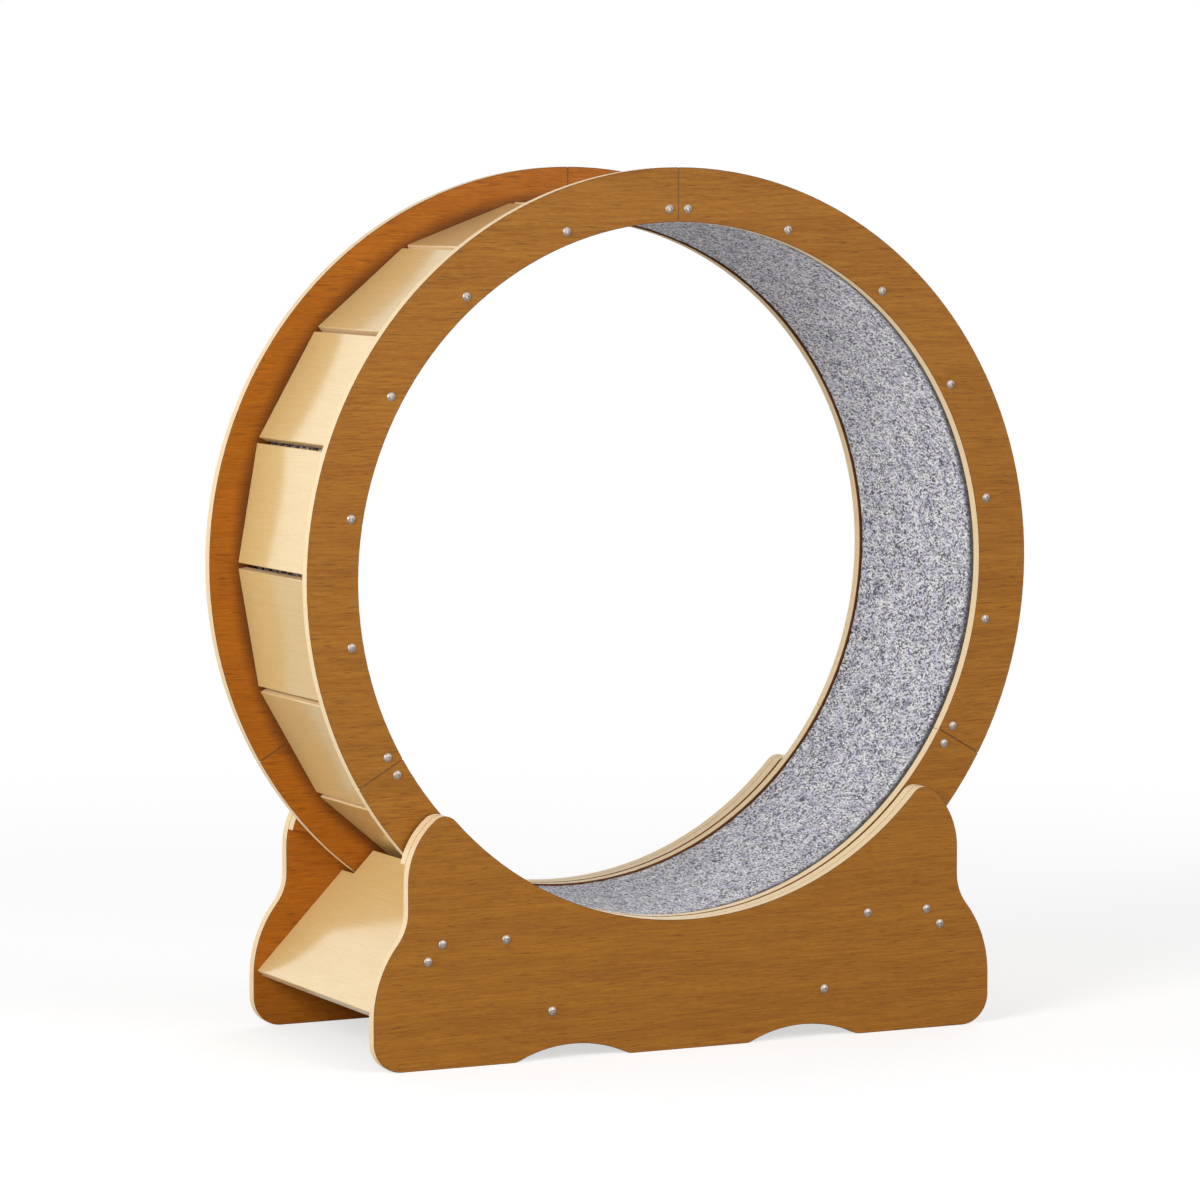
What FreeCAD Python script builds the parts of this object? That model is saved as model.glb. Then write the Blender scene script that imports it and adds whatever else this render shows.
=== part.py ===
import FreeCAD, Part
import math
import os
import Sketcher
from FreeCAD import Placement, Rotation, Vector

# A free-standing exercise wheel for cats. Two plywood rings, each of three segments, carry
# eighteen slats and a carpet track between them. The rings run on four small grooved rollers,
# which turn on axle bolts through the two side panels of the base. A liner is glued inside each
# side panel and doubles it along the cradle and the ears. Two sloping guard boards and two cross
# rails hold the side panels apart.
#
# The origin is on the floor, under the middle of the wheel. +X points to the right and +Y to the
# back for someone who looks at the front ring, and +Z points up. Lengths are millimetres, angles
# are degrees, and angles round the wheel run clockwise from its top, as seen from the front.

SIZES = [
    ("ring_outer_radius", 500.0, "outer edge of both rings"),
    ("ring_width", 67.4, "from the inner to the outer edge of a ring"),
    ("ring_thickness", 15.0, "plywood of the rings"),
    ("track_width", 300.0, "between the rings, the length of a slat"),
    ("seam_gap", 0.5, "hairline joint between two ring segments"),
    ("edge_chamfer", 0.8, "eased edges of every board"),
    ("slat_inset", 16.1, "from the ring's inner edge out to the middle of a slat's thickness"),
    ("slat_thickness", 12.0, "plywood of the slats"),
    ("slat_gap", 3.5, "between the inner edges of two slats"),
    ("seam_bolt_offset", 12.7, "from a ring seam to the bolt on each side of it"),
    ("carpet_thickness", 8.0, "carpet track with its backing"),
    ("carpet_joint", 0.6, "gap where the two ends of the carpet meet"),
    ("carpet_joint_angle", 260.0, "where round the wheel the carpet's ends meet"),
    ("wheel_floor_clearance", 95.0, "from the floor to the rings' lowest point"),
    ("panel_thickness", 15.0, "plywood of the side panels"),
    ("liner_thickness", 15.0, "plywood of the liner inside each side panel"),
    ("liner_clearance", 4.0, "between a liner and the ring beside it"),
    ("liner_roller_gap", 4.0, "between a liner's lower edge and the rim of a roller"),
    ("liner_end_angle", 44.3, "from straight down to where that lower edge ends"),
    ("liner_ledge_slope", 12.0, "slope of the ledge from there out to the panel's edge"),
    ("hip_half_width", 429.5, "half the width of a side panel at its lower bulge"),
    ("hip_height", 65.0, "where the straight lower side ends"),
    ("hip_radius", 147.0, "lower bulge"),
    ("waist_depth", 46.2, "how far the waist lies inside the hip"),
    ("waist_radius", 62.5, "hollow under the waist"),
    ("waist_length", 33.8, "straight part of the waist, below the ear"),
    ("shoulder_radius", 97.0, "outer curve of the ear"),
    ("ear_radius", 20.0, "rounded tip of the ear"),
    ("foot_radius", 38.0, "rounded lower corner of a side panel"),
    ("arch_centre", 161.0, "from the middle of a side panel to the middle of an arch"),
    ("arch_radius", 174.0, "shallow arch in the lower edge"),
    ("arch_rise", 18.0, "height of the arch above the floor"),
    ("arch_end_radius", 20.0, "rounding at both ends of the arch"),
    ("guard_thickness", 12.0, "plywood of the guard boards"),
    ("guard_slope", 46.0, "slope of a guard board"),
    ("guard_bolt_angle", 37.6, "from straight down to the middle of a guard board's bolts"),
    ("guard_bolt_distance", 70.0, "from the ring's outer edge to the middle of those bolts"),
    ("guard_bolt_spacing", 28.0, "between the two bolts at each end of a guard board"),
    ("guard_lower_length", 104.0, "from the middle of the bolts to the board's lower edge"),
    ("guard_clearance", 3.5, "between a guard board and the turning wheel"),
    ("rail_half_spacing", 190.4, "from the middle of the base to each cross rail"),
    ("rail_height", 61.0, "from the floor to the middle of a cross rail"),
    ("rail_width", 30.0, "cross rail, along X"),
    ("rail_depth", 40.0, "cross rail, along Z"),
    ("bolt_diameter", 6.0, "shank of every bolt"),
    ("bolt_hole_diameter", 6.6, "clearance hole for a bolt"),
    ("bolt_head_diameter", 11.0, "domed head"),
    ("bolt_head_height", 2.8, "domed head, over all"),
    ("bolt_head_rim", 0.8, "straight rim under the dome"),
    ("bolt_tip_chamfer", 0.8, "chamfer at the end of the shank"),
    ("socket_width", 4.0, "hexagon socket, across its flats"),
    ("socket_depth", 1.7, "hexagon socket"),
    ("bolt_grip", 25.0, "length of a bolt inside the board that it holds"),
    ("bolt_hole_spare", 3.0, "hole left beyond the end of the bolt"),
    ("barrel_nut_diameter", 10.0, "cross dowel that the bolt screws into"),
    ("barrel_nut_length", 10.0, "cross dowel"),
    ("barrel_nut_setback", 18.0, "from the board's end to the cross dowel"),
    ("barrel_nut_slot_width", 1.2, "screwdriver slot in the cross dowel"),
    ("barrel_nut_slot_depth", 1.0, "screwdriver slot in the cross dowel"),
    ("fit_clearance", 0.05, "radial gap round a piece that sits in a bore or on a shaft"),
    ("axle_angle", 29.8, "from straight down to each roller's axle"),
    ("rolling_gap", 0.3, "between a ring and the bottom of the roller's groove"),
    ("roller_wall", 1.5, "between the bearing and the bottom of the groove"),
    ("roller_flange_height", 6.0, "flange above the bottom of the groove"),
    ("roller_flange_width", 3.0, "flange, along the axle"),
    ("roller_side_gap", 0.5, "between a ring's face and the bottom of the flange"),
    ("roller_flange_taper", 0.6, "how far the groove opens on each side"),
    ("roller_edge", 0.6, "chamfer at the rim of the flange"),
    ("roller_bore_radius", 5.7, "bore between the two bearings"),
    ("bearing_diameter", 13.0, "outer ring of a bearing"),
    ("bearing_width", 5.0, "bearing, along the axle"),
    ("bearing_pitch_radius", 4.75, "circle through the centres of the balls"),
    ("bearing_ball_diameter", 1.5, "ball of a bearing"),
    ("bearing_play", 0.1, "between a ball and the groove that it runs in"),
    ("bearing_land", 0.55, "from the circle of the balls to each ring's straight part"),
    ("spacer_diameter", 8.0, "sleeves on the axle bolt"),
    ("washer_diameter", 9.0, "washer under the lock nut, clear of the outer ring"),
    ("washer_thickness", 1.6, "washer under the lock nut"),
    ("lock_nut_width", 10.0, "lock nut, across its flats"),
    ("lock_nut_height", 6.0, "lock nut with its collar"),
    ("lock_nut_flat_height", 4.4, "lock nut without its collar"),
    ("lock_nut_collar_diameter", 8.8, "collar of the lock nut"),
    ("axle_bolt_end", 1.0, "axle bolt beyond the lock nut"),
]

SEGMENTS = 3
SLATS_PER_SEGMENT = 6
SLATS = SEGMENTS * SLATS_PER_SEGMENT
SLAT_PITCH = 360.0 / SLATS
SEGMENT_ANGLE = 360.0 / SEGMENTS
BEARING_BALLS = 7

X_AXIS = Vector(1, 0, 0)
Y_AXIS = Vector(0, 1, 0)
Z_AXIS = Vector(0, 0, 1)
ALONG_Y = Rotation(X_AXIS, -90)
TURNED_ROUND = Rotation(Z_AXIS, 180)

doc = FreeCAD.newDocument("cat_exercise_wheel")
sheet = doc.addObject("Spreadsheet::Sheet", "Sizes")
for row, (alias, number, meaning) in enumerate(SIZES, start=1):
    sheet.set(f"A{row}", meaning)
    sheet.set(f"B{row}", str(number))
    sheet.setAlias(f"B{row}", alias)
doc.recompute()

nodes = {}


# Lengths that follow from the sizes, as expressions on the sheet.

CENTRE_HEIGHT = "(Sizes.ring_outer_radius + Sizes.wheel_floor_clearance)"
RING_INNER_RADIUS = "(Sizes.ring_outer_radius - Sizes.ring_width)"
SLAT_RADIUS = f"({RING_INNER_RADIUS} + Sizes.slat_inset)"
SLAT_INNER = f"({SLAT_RADIUS} - Sizes.slat_thickness / 2)"
SLAT_OUTER = f"({SLAT_RADIUS} + Sizes.slat_thickness / 2)"
SLAT_WIDTH = (
    f"(2 * {SLAT_INNER} * tan({SLAT_PITCH / 2}) - Sizes.slat_gap / cos({SLAT_PITCH / 2}))"
)
SLAT_CORNER_RADIUS = f"sqrt({SLAT_OUTER} ^ 2 + ({SLAT_WIDTH} / 2) ^ 2)"
RING_MIDDLE = "((Sizes.track_width + Sizes.ring_thickness) / 2)"
RING_FACE = "(Sizes.track_width / 2 + Sizes.ring_thickness)"
LINER_MIDDLE = f"({RING_FACE} + Sizes.liner_clearance + Sizes.liner_thickness / 2)"
PANEL_INNER_FACE = f"({LINER_MIDDLE} + Sizes.liner_thickness / 2)"
PANEL_MIDDLE = f"({PANEL_INNER_FACE} + Sizes.panel_thickness / 2)"
PANEL_OUTER_FACE = f"({PANEL_INNER_FACE} + Sizes.panel_thickness)"
BOLT_HOLE_DEPTH = "(Sizes.bolt_grip + Sizes.bolt_hole_spare)"
NUT_HOLE_DIAMETER = "(Sizes.barrel_nut_diameter + 2 * Sizes.fit_clearance)"
SHAFT_BORE = "(Sizes.bolt_diameter + 2 * Sizes.fit_clearance)"

BEARING_RADIUS = "(Sizes.bearing_diameter / 2)"
BEARING_SEAT = f"({BEARING_RADIUS} + Sizes.fit_clearance)"
ROLLER_ROOT = f"({BEARING_RADIUS} + Sizes.roller_wall)"
ROLLER_RIM = f"({ROLLER_ROOT} + Sizes.roller_flange_height)"
GROOVE_HALF = "(Sizes.ring_thickness / 2 + Sizes.roller_side_gap)"
ROLLER_HALF = f"({GROOVE_HALF} + Sizes.roller_flange_width)"
AXLE_RADIUS = f"(Sizes.ring_outer_radius + {ROLLER_ROOT} + Sizes.rolling_gap)"
AXLE_X = f"({AXLE_RADIUS} * sin(Sizes.axle_angle))"
AXLE_Z = f"({CENTRE_HEIGHT} - {AXLE_RADIUS} * cos(Sizes.axle_angle))"
LINER_RADIUS = f"({AXLE_RADIUS} - {ROLLER_RIM} - Sizes.liner_roller_gap)"
LINER_END_X = f"({LINER_RADIUS} * sin(Sizes.liner_end_angle))"
LINER_END_Z = f"({CENTRE_HEIGHT} - {LINER_RADIUS} * cos(Sizes.liner_end_angle))"
SPACER_LENGTH = f"({PANEL_INNER_FACE} - {RING_MIDDLE} - {ROLLER_HALF})"
SLEEVE_LENGTH = f"(2 * {ROLLER_HALF} - 2 * Sizes.bearing_width)"
AXLE_BOLT_LENGTH = (
    f"({PANEL_OUTER_FACE} - {RING_MIDDLE} + {ROLLER_HALF} + Sizes.washer_thickness"
    " + Sizes.lock_nut_height + Sizes.axle_bolt_end)"
)

GUARD_BOLT_RADIUS = "(Sizes.ring_outer_radius + Sizes.guard_bolt_distance)"
GUARD_BOLT_X = f"({GUARD_BOLT_RADIUS} * sin(Sizes.guard_bolt_angle))"
GUARD_BOLT_Z = f"({CENTRE_HEIGHT} - {GUARD_BOLT_RADIUS} * cos(Sizes.guard_bolt_angle))"
GUARD_LEAN = "(Sizes.guard_bolt_angle + Sizes.guard_slope)"
GUARD_UPPER_FACE = f"({GUARD_BOLT_RADIUS} * cos({GUARD_LEAN}) - Sizes.guard_thickness / 2)"


def up_the_guard(radius):
    """Distance up a guard board, from its bolts to where it comes within radius of the axis."""
    reach = f"sqrt(({radius} + Sizes.guard_clearance) ^ 2 - {GUARD_UPPER_FACE} ^ 2)"
    return f"({GUARD_BOLT_RADIUS} * sin({GUARD_LEAN}) - {reach})"


def value(expression):
    """The number that an expression on the sheet gives."""
    return float(sheet.evalExpression(expression))


# Helpers that make features bound to the sheet.


def place(thing, base, turn=None):
    """Bind a thing's place, and its turn about the Y axis, to expressions."""
    if turn is not None:
        thing.Placement = Placement(Vector(), Rotation(Y_AXIS, 1))
        thing.setExpression("Placement.Rotation.Angle", turn)
    for coordinate, expression in zip("xyz", base):
        thing.setExpression(f"Placement.Base.{coordinate}", expression)


def new_body(label, base=("0", "0", "0"), turn=None, node=True):
    body = doc.addObject("PartDesign::Body", label)
    body.Label = label
    place(body, base, turn)
    if node:
        nodes[label] = body
    return body


def origin_feature(body, role):
    return next(item for item in body.Origin.OriginFeatures if item.Role == role)


def new_sketch(body, name, plane):
    sketch = body.newObject("Sketcher::SketchObject", name)
    sketch.AttachmentSupport = (origin_feature(body, plane), [""])
    sketch.MapMode = "FlatFace"
    return sketch


def drive(sketch, expression, kind, *where):
    """Add a dimension to a sketch and bind it to an expression."""
    index = sketch.addConstraint(Sketcher.Constraint(kind, *where, value(expression)))
    sketch.setExpression(f"Constraints[{index}]", expression)


def arc_through(start, end, radius, left):
    """Arc of less than a half circle, which turns left or right on its way to its end."""
    chord = end - start
    side = Vector(-chord.y, chord.x, 0).normalize() * (1 if left else -1)
    rise = math.sqrt(radius**2 - (chord.Length / 2) ** 2)
    centre = (start + end) * 0.5 + side * rise
    first, last = (start, end) if left else (end, start)
    angles = [math.atan2(p.y - centre.y, p.x - centre.x) for p in (first, last)]
    return Part.ArcOfCircle(Part.Circle(centre, Z_AXIS, radius), *angles)


def profile(body, name, plane, corners, arcs=None):
    """Closed sketch whose corners are pairs of expressions.

    A side is straight, unless arcs holds, for the corner where it starts, a radius expression
    and whether the arc turns left.
    """
    arcs = arcs or {}
    sketch = new_sketch(body, name, plane)
    points = [Vector(value(x), value(y), 0) for x, y in corners]
    ends = []
    for side, start in enumerate(points):
        end = points[(side + 1) % len(points)]
        if side in arcs:
            radius, left = arcs[side]
            sketch.addGeometry(arc_through(start, end, value(radius), left), False)
            ends.append((1, 2) if left else (2, 1))
        else:
            sketch.addGeometry(Part.LineSegment(start, end), False)
            ends.append((1, 2))
    for side, (_, last) in enumerate(ends):
        after = (side + 1) % len(ends)
        sketch.addConstraint(Sketcher.Constraint("Coincident", side, last, after, ends[after][0]))
    for side, (x, y) in enumerate(corners):
        drive(sketch, x, "DistanceX", -1, 1, side, ends[side][0])
        drive(sketch, y, "DistanceY", -1, 1, side, ends[side][0])
    for side, (radius, _) in arcs.items():
        drive(sketch, radius, "Radius", side)
    return sketch


def pad(body, sketch, length):
    """Extrude a sketch by a length, half of it on each side of the sketch's plane."""
    feature = body.newObject("PartDesign::Pad", f"{body.Name}_pad")
    feature.Profile = sketch
    feature.SideType = "Symmetric"
    feature.setExpression("Length", length)
    return feature


def revolve(body, sketch, angle="360"):
    """Turn a sketch about the body's Y axis, half of the angle on each side of its plane."""
    feature = body.newObject("PartDesign::Revolution", f"{body.Name}_revolution")
    feature.Profile = sketch
    feature.ReferenceAxis = (origin_feature(body, "Y_Axis"), [""])
    feature.Midplane = True
    feature.setExpression("Angle", angle)
    return feature


def ease_edges(body, base, names=None):
    """Chamfer the named edges, or every sharp edge that the body has so far."""
    feature = body.newObject("PartDesign::Chamfer", f"{body.Name}_eased_edges")
    feature.Base = (base, names or [""])
    feature.UseAllEdges = names is None
    feature.setExpression("Size", "Sizes.edge_chamfer")
    return feature


def drill(body, name, diameter, depth, start, rotation=ALONG_Y):
    """Cut a round hole that runs from start, along Y unless a rotation is given."""
    hole = body.newObject("PartDesign::SubtractiveCylinder", f"{body.Name}_{name}")
    hole.setExpression("Radius", f"{diameter} / 2")
    hole.setExpression("Height", depth)
    hole.Placement = Placement(Vector(), rotation)
    for coordinate, expression in zip("xyz", start):
        hole.setExpression(f"Placement.Base.{coordinate}", expression)
    return hole


def rectangle(half_x, low_y, high_y):
    """Corners of a rectangle that is symmetric about the sketch's vertical axis."""
    return [(f"-{half_x}", low_y), (half_x, low_y), (half_x, high_y), (f"-{half_x}", high_y)]


def drill_board_end(body, half_length, x, z, nut_side, nut_depth, tag):
    """Bolt hole and cross-dowel hole at both ends of a board that lies along Y.

    The cross dowel's hole starts at nut_side, which is a place and a rotation.
    """
    for end, name in ((-1, "front"), (1, "back")):
        start = f"-{half_length}" if end < 0 else f"{half_length} - {BOLT_HOLE_DEPTH}"
        drill(body, f"bolt_{name}_{tag}", "Sizes.bolt_hole_diameter", BOLT_HOLE_DEPTH,
              (x, start, z))
        nut_x, nut_z, rotation = nut_side
        nut_y = f"{end} * ({half_length} - Sizes.barrel_nut_setback)"
        drill(body, f"nut_{name}_{tag}", NUT_HOLE_DIAMETER, nut_depth, (nut_x, nut_y, nut_z),
              rotation)


def copies(label, template, places):
    """One node that holds a copy of the template's solid at each place."""
    group = doc.addObject("Part::Feature", label)
    group.Label = label
    solids = []
    for where in places:
        solid = template.Shape.copy()
        solid.Placement = where.multiply(template.Shape.Placement)
        solids.append(solid)
    group.Shape = Part.makeCompound(solids)
    nodes[label] = group


def tube(name, outer_diameter, length):
    """Sleeve for the axle bolt, with its axis on Z and its middle at the origin."""
    parts = []
    for tag, diameter in (("outside", outer_diameter), ("bore", SHAFT_BORE)):
        cylinder = doc.addObject("Part::Cylinder", f"{name}_{tag}")
        cylinder.setExpression("Radius", f"{diameter} / 2")
        cylinder.setExpression("Height", length)
        place(cylinder, ("0", "0", f"-{length} / 2"))
        parts.append(cylinder)
    cut = doc.addObject("Part::Cut", name)
    cut.Base, cut.Tool = parts
    return cut


# The wheel.

AXIS_POINT = ("0", "0", CENTRE_HEIGHT)


def bolt_circle(angle, offset):
    """X and Z from the wheel's axis, at an angle round it and an offset square to that."""
    x = f"({SLAT_RADIUS} * sin({angle}) + ({offset}) * cos({angle}))"
    z = f"({SLAT_RADIUS} * cos({angle}) - ({offset}) * sin({angle}))"
    return x, z


def slat_bolt_offsets(number):
    """A slat that bridges a seam has a bolt on each side of it, and any other has one bolt."""
    if number % SLATS_PER_SEGMENT == 0:
        return ["-Sizes.seam_bolt_offset", "Sizes.seam_bolt_offset"]
    return ["0"]


def make_ring_segment(label, ring_y, middle_angle):
    body = new_body(label, ("0", ring_y, CENTRE_HEIGHT), str(middle_angle))
    section = profile(body, f"{label}_section", "YZ_Plane", rectangle(
        "Sizes.ring_thickness / 2", RING_INNER_RADIUS, "Sizes.ring_outer_radius"))
    seam_angle = "Sizes.seam_gap / Sizes.ring_outer_radius * 180 / pi"
    ease_edges(body, revolve(body, section, f"{SEGMENT_ANGLE} - {seam_angle}"))
    for step in range(SLATS_PER_SEGMENT + 1):
        angle = step * SLAT_PITCH - SEGMENT_ANGLE / 2
        offset = {0: "Sizes.seam_bolt_offset", SLATS_PER_SEGMENT: "-Sizes.seam_bolt_offset"}
        x, z = bolt_circle(angle, offset.get(step, "0"))
        drill(body, f"hole_{step}", "Sizes.bolt_hole_diameter", "Sizes.ring_thickness",
              (x, "-Sizes.ring_thickness / 2", z))


def make_slat(label, number):
    body = new_body(label, AXIS_POINT, str(number * SLAT_PITCH))
    outline = profile(body, f"{label}_section", "XZ_Plane", rectangle(
        f"{SLAT_WIDTH} / 2", SLAT_INNER, SLAT_OUTER))
    ease_edges(body, pad(body, outline, "Sizes.track_width"))
    nut_depth = "(Sizes.slat_thickness + Sizes.barrel_nut_length) / 2"
    for tag, offset in enumerate(slat_bolt_offsets(number)):
        drill_board_end(body, "Sizes.track_width / 2", offset, SLAT_RADIUS,
                        (offset, SLAT_INNER, Rotation()), nut_depth, tag)


def make_carpet():
    """The carpet lies against the slats, with its two ends butted together."""
    body = new_body("carpet_track", AXIS_POINT, "Sizes.carpet_joint_angle - 180")
    section = profile(body, "carpet_section", "YZ_Plane", rectangle(
        "Sizes.track_width / 2", f"({SLAT_INNER} - Sizes.carpet_thickness)", SLAT_INNER))
    revolve(body, section, f"360 - Sizes.carpet_joint / {SLAT_INNER} * 180 / pi")


def make_bolt(name, length):
    """Domed bolt with a hexagon socket: the head's underside is at the origin, the shank on +Y."""
    body = new_body(name, node=False)
    head = "Sizes.bolt_head_diameter / 2"
    dome = "(Sizes.bolt_head_height - Sizes.bolt_head_rim)"
    shank = "Sizes.bolt_diameter / 2"
    corners = [
        ("0", "-Sizes.bolt_head_height"),
        (head, "-Sizes.bolt_head_rim"),
        (head, "0"),
        (shank, "0"),
        (shank, f"{length} - Sizes.bolt_tip_chamfer"),
        (f"{shank} - Sizes.bolt_tip_chamfer", length),
        ("0", length),
    ]
    dome_radius = f"(({head}) ^ 2 + {dome} ^ 2) / (2 * {dome})"
    revolve(body, profile(body, f"{name}_section", "XY_Plane", corners, {0: (dome_radius, True)}))
    socket = body.newObject("PartDesign::SubtractivePrism", f"{name}_socket")
    socket.Polygon = 6
    socket.setExpression("Circumradius", "Sizes.socket_width / 2 / cos(30)")
    socket.setExpression("Height", "Sizes.socket_depth")
    socket.Placement = Placement(Vector(), ALONG_Y)
    socket.setExpression("Placement.Base.y", "-Sizes.bolt_head_height")
    return body


def make_barrel_nut():
    """Cross dowel: its axis is on Z, and the bolt passes through it along Y."""
    blank = doc.addObject("Part::Cylinder", "barrel_nut_blank")
    blank.setExpression("Radius", "Sizes.barrel_nut_diameter / 2")
    blank.setExpression("Height", "Sizes.barrel_nut_length")
    place(blank, ("0", "0", "-Sizes.barrel_nut_length / 2"))
    bore = doc.addObject("Part::Cylinder", "barrel_nut_bore")
    bore.setExpression("Radius", f"{SHAFT_BORE} / 2")
    bore.setExpression("Height", "2 * Sizes.barrel_nut_diameter")
    bore.Placement = Placement(Vector(), ALONG_Y)
    bore.setExpression("Placement.Base.y", "-Sizes.barrel_nut_diameter")
    slot = doc.addObject("Part::Box", "barrel_nut_slot")
    slot.setExpression("Length", "Sizes.barrel_nut_slot_width")
    slot.setExpression("Width", "2 * Sizes.barrel_nut_diameter")
    slot.setExpression("Height", "Sizes.barrel_nut_slot_depth")
    place(slot, ("-Sizes.barrel_nut_slot_width / 2", "-Sizes.barrel_nut_diameter",
                 "-Sizes.barrel_nut_length / 2"))
    drilled = doc.addObject("Part::Cut", "barrel_nut_drilled")
    drilled.Base, drilled.Tool = blank, bore
    nut = doc.addObject("Part::Cut", "barrel_nut")
    nut.Base, nut.Tool = drilled, slot
    return nut


ring_names = {0: "right", 1: "bottom", 2: "left"}
for face, ring_y in (("front", f"-{RING_MIDDLE}"), ("back", RING_MIDDLE)):
    for segment in range(SEGMENTS):
        place_name = ring_names.get(segment, str(segment + 1))
        make_ring_segment(f"{face}_ring_{place_name}", ring_y, (segment + 0.5) * SEGMENT_ANGLE)
for number in range(SLATS):
    make_slat(f"slat_{number + 1:02d}", number)
make_carpet()


# The base.


def add_tangent_chain(sketch, chain):
    """Join the sketch's first shapes in order, smoothly, and return each one's start and end."""
    ends = [(1, 2) if forward else (2, 1) for forward in chain]
    for index in range(len(chain) - 1):
        sketch.addConstraint(Sketcher.Constraint(
            "Tangent", index, ends[index][1], index + 1, ends[index + 1][0]))
    return ends


def toward(start, end, distance):
    """The point at a distance from start, on the line to end."""
    return start + (end - start).normalize() * distance


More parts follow.
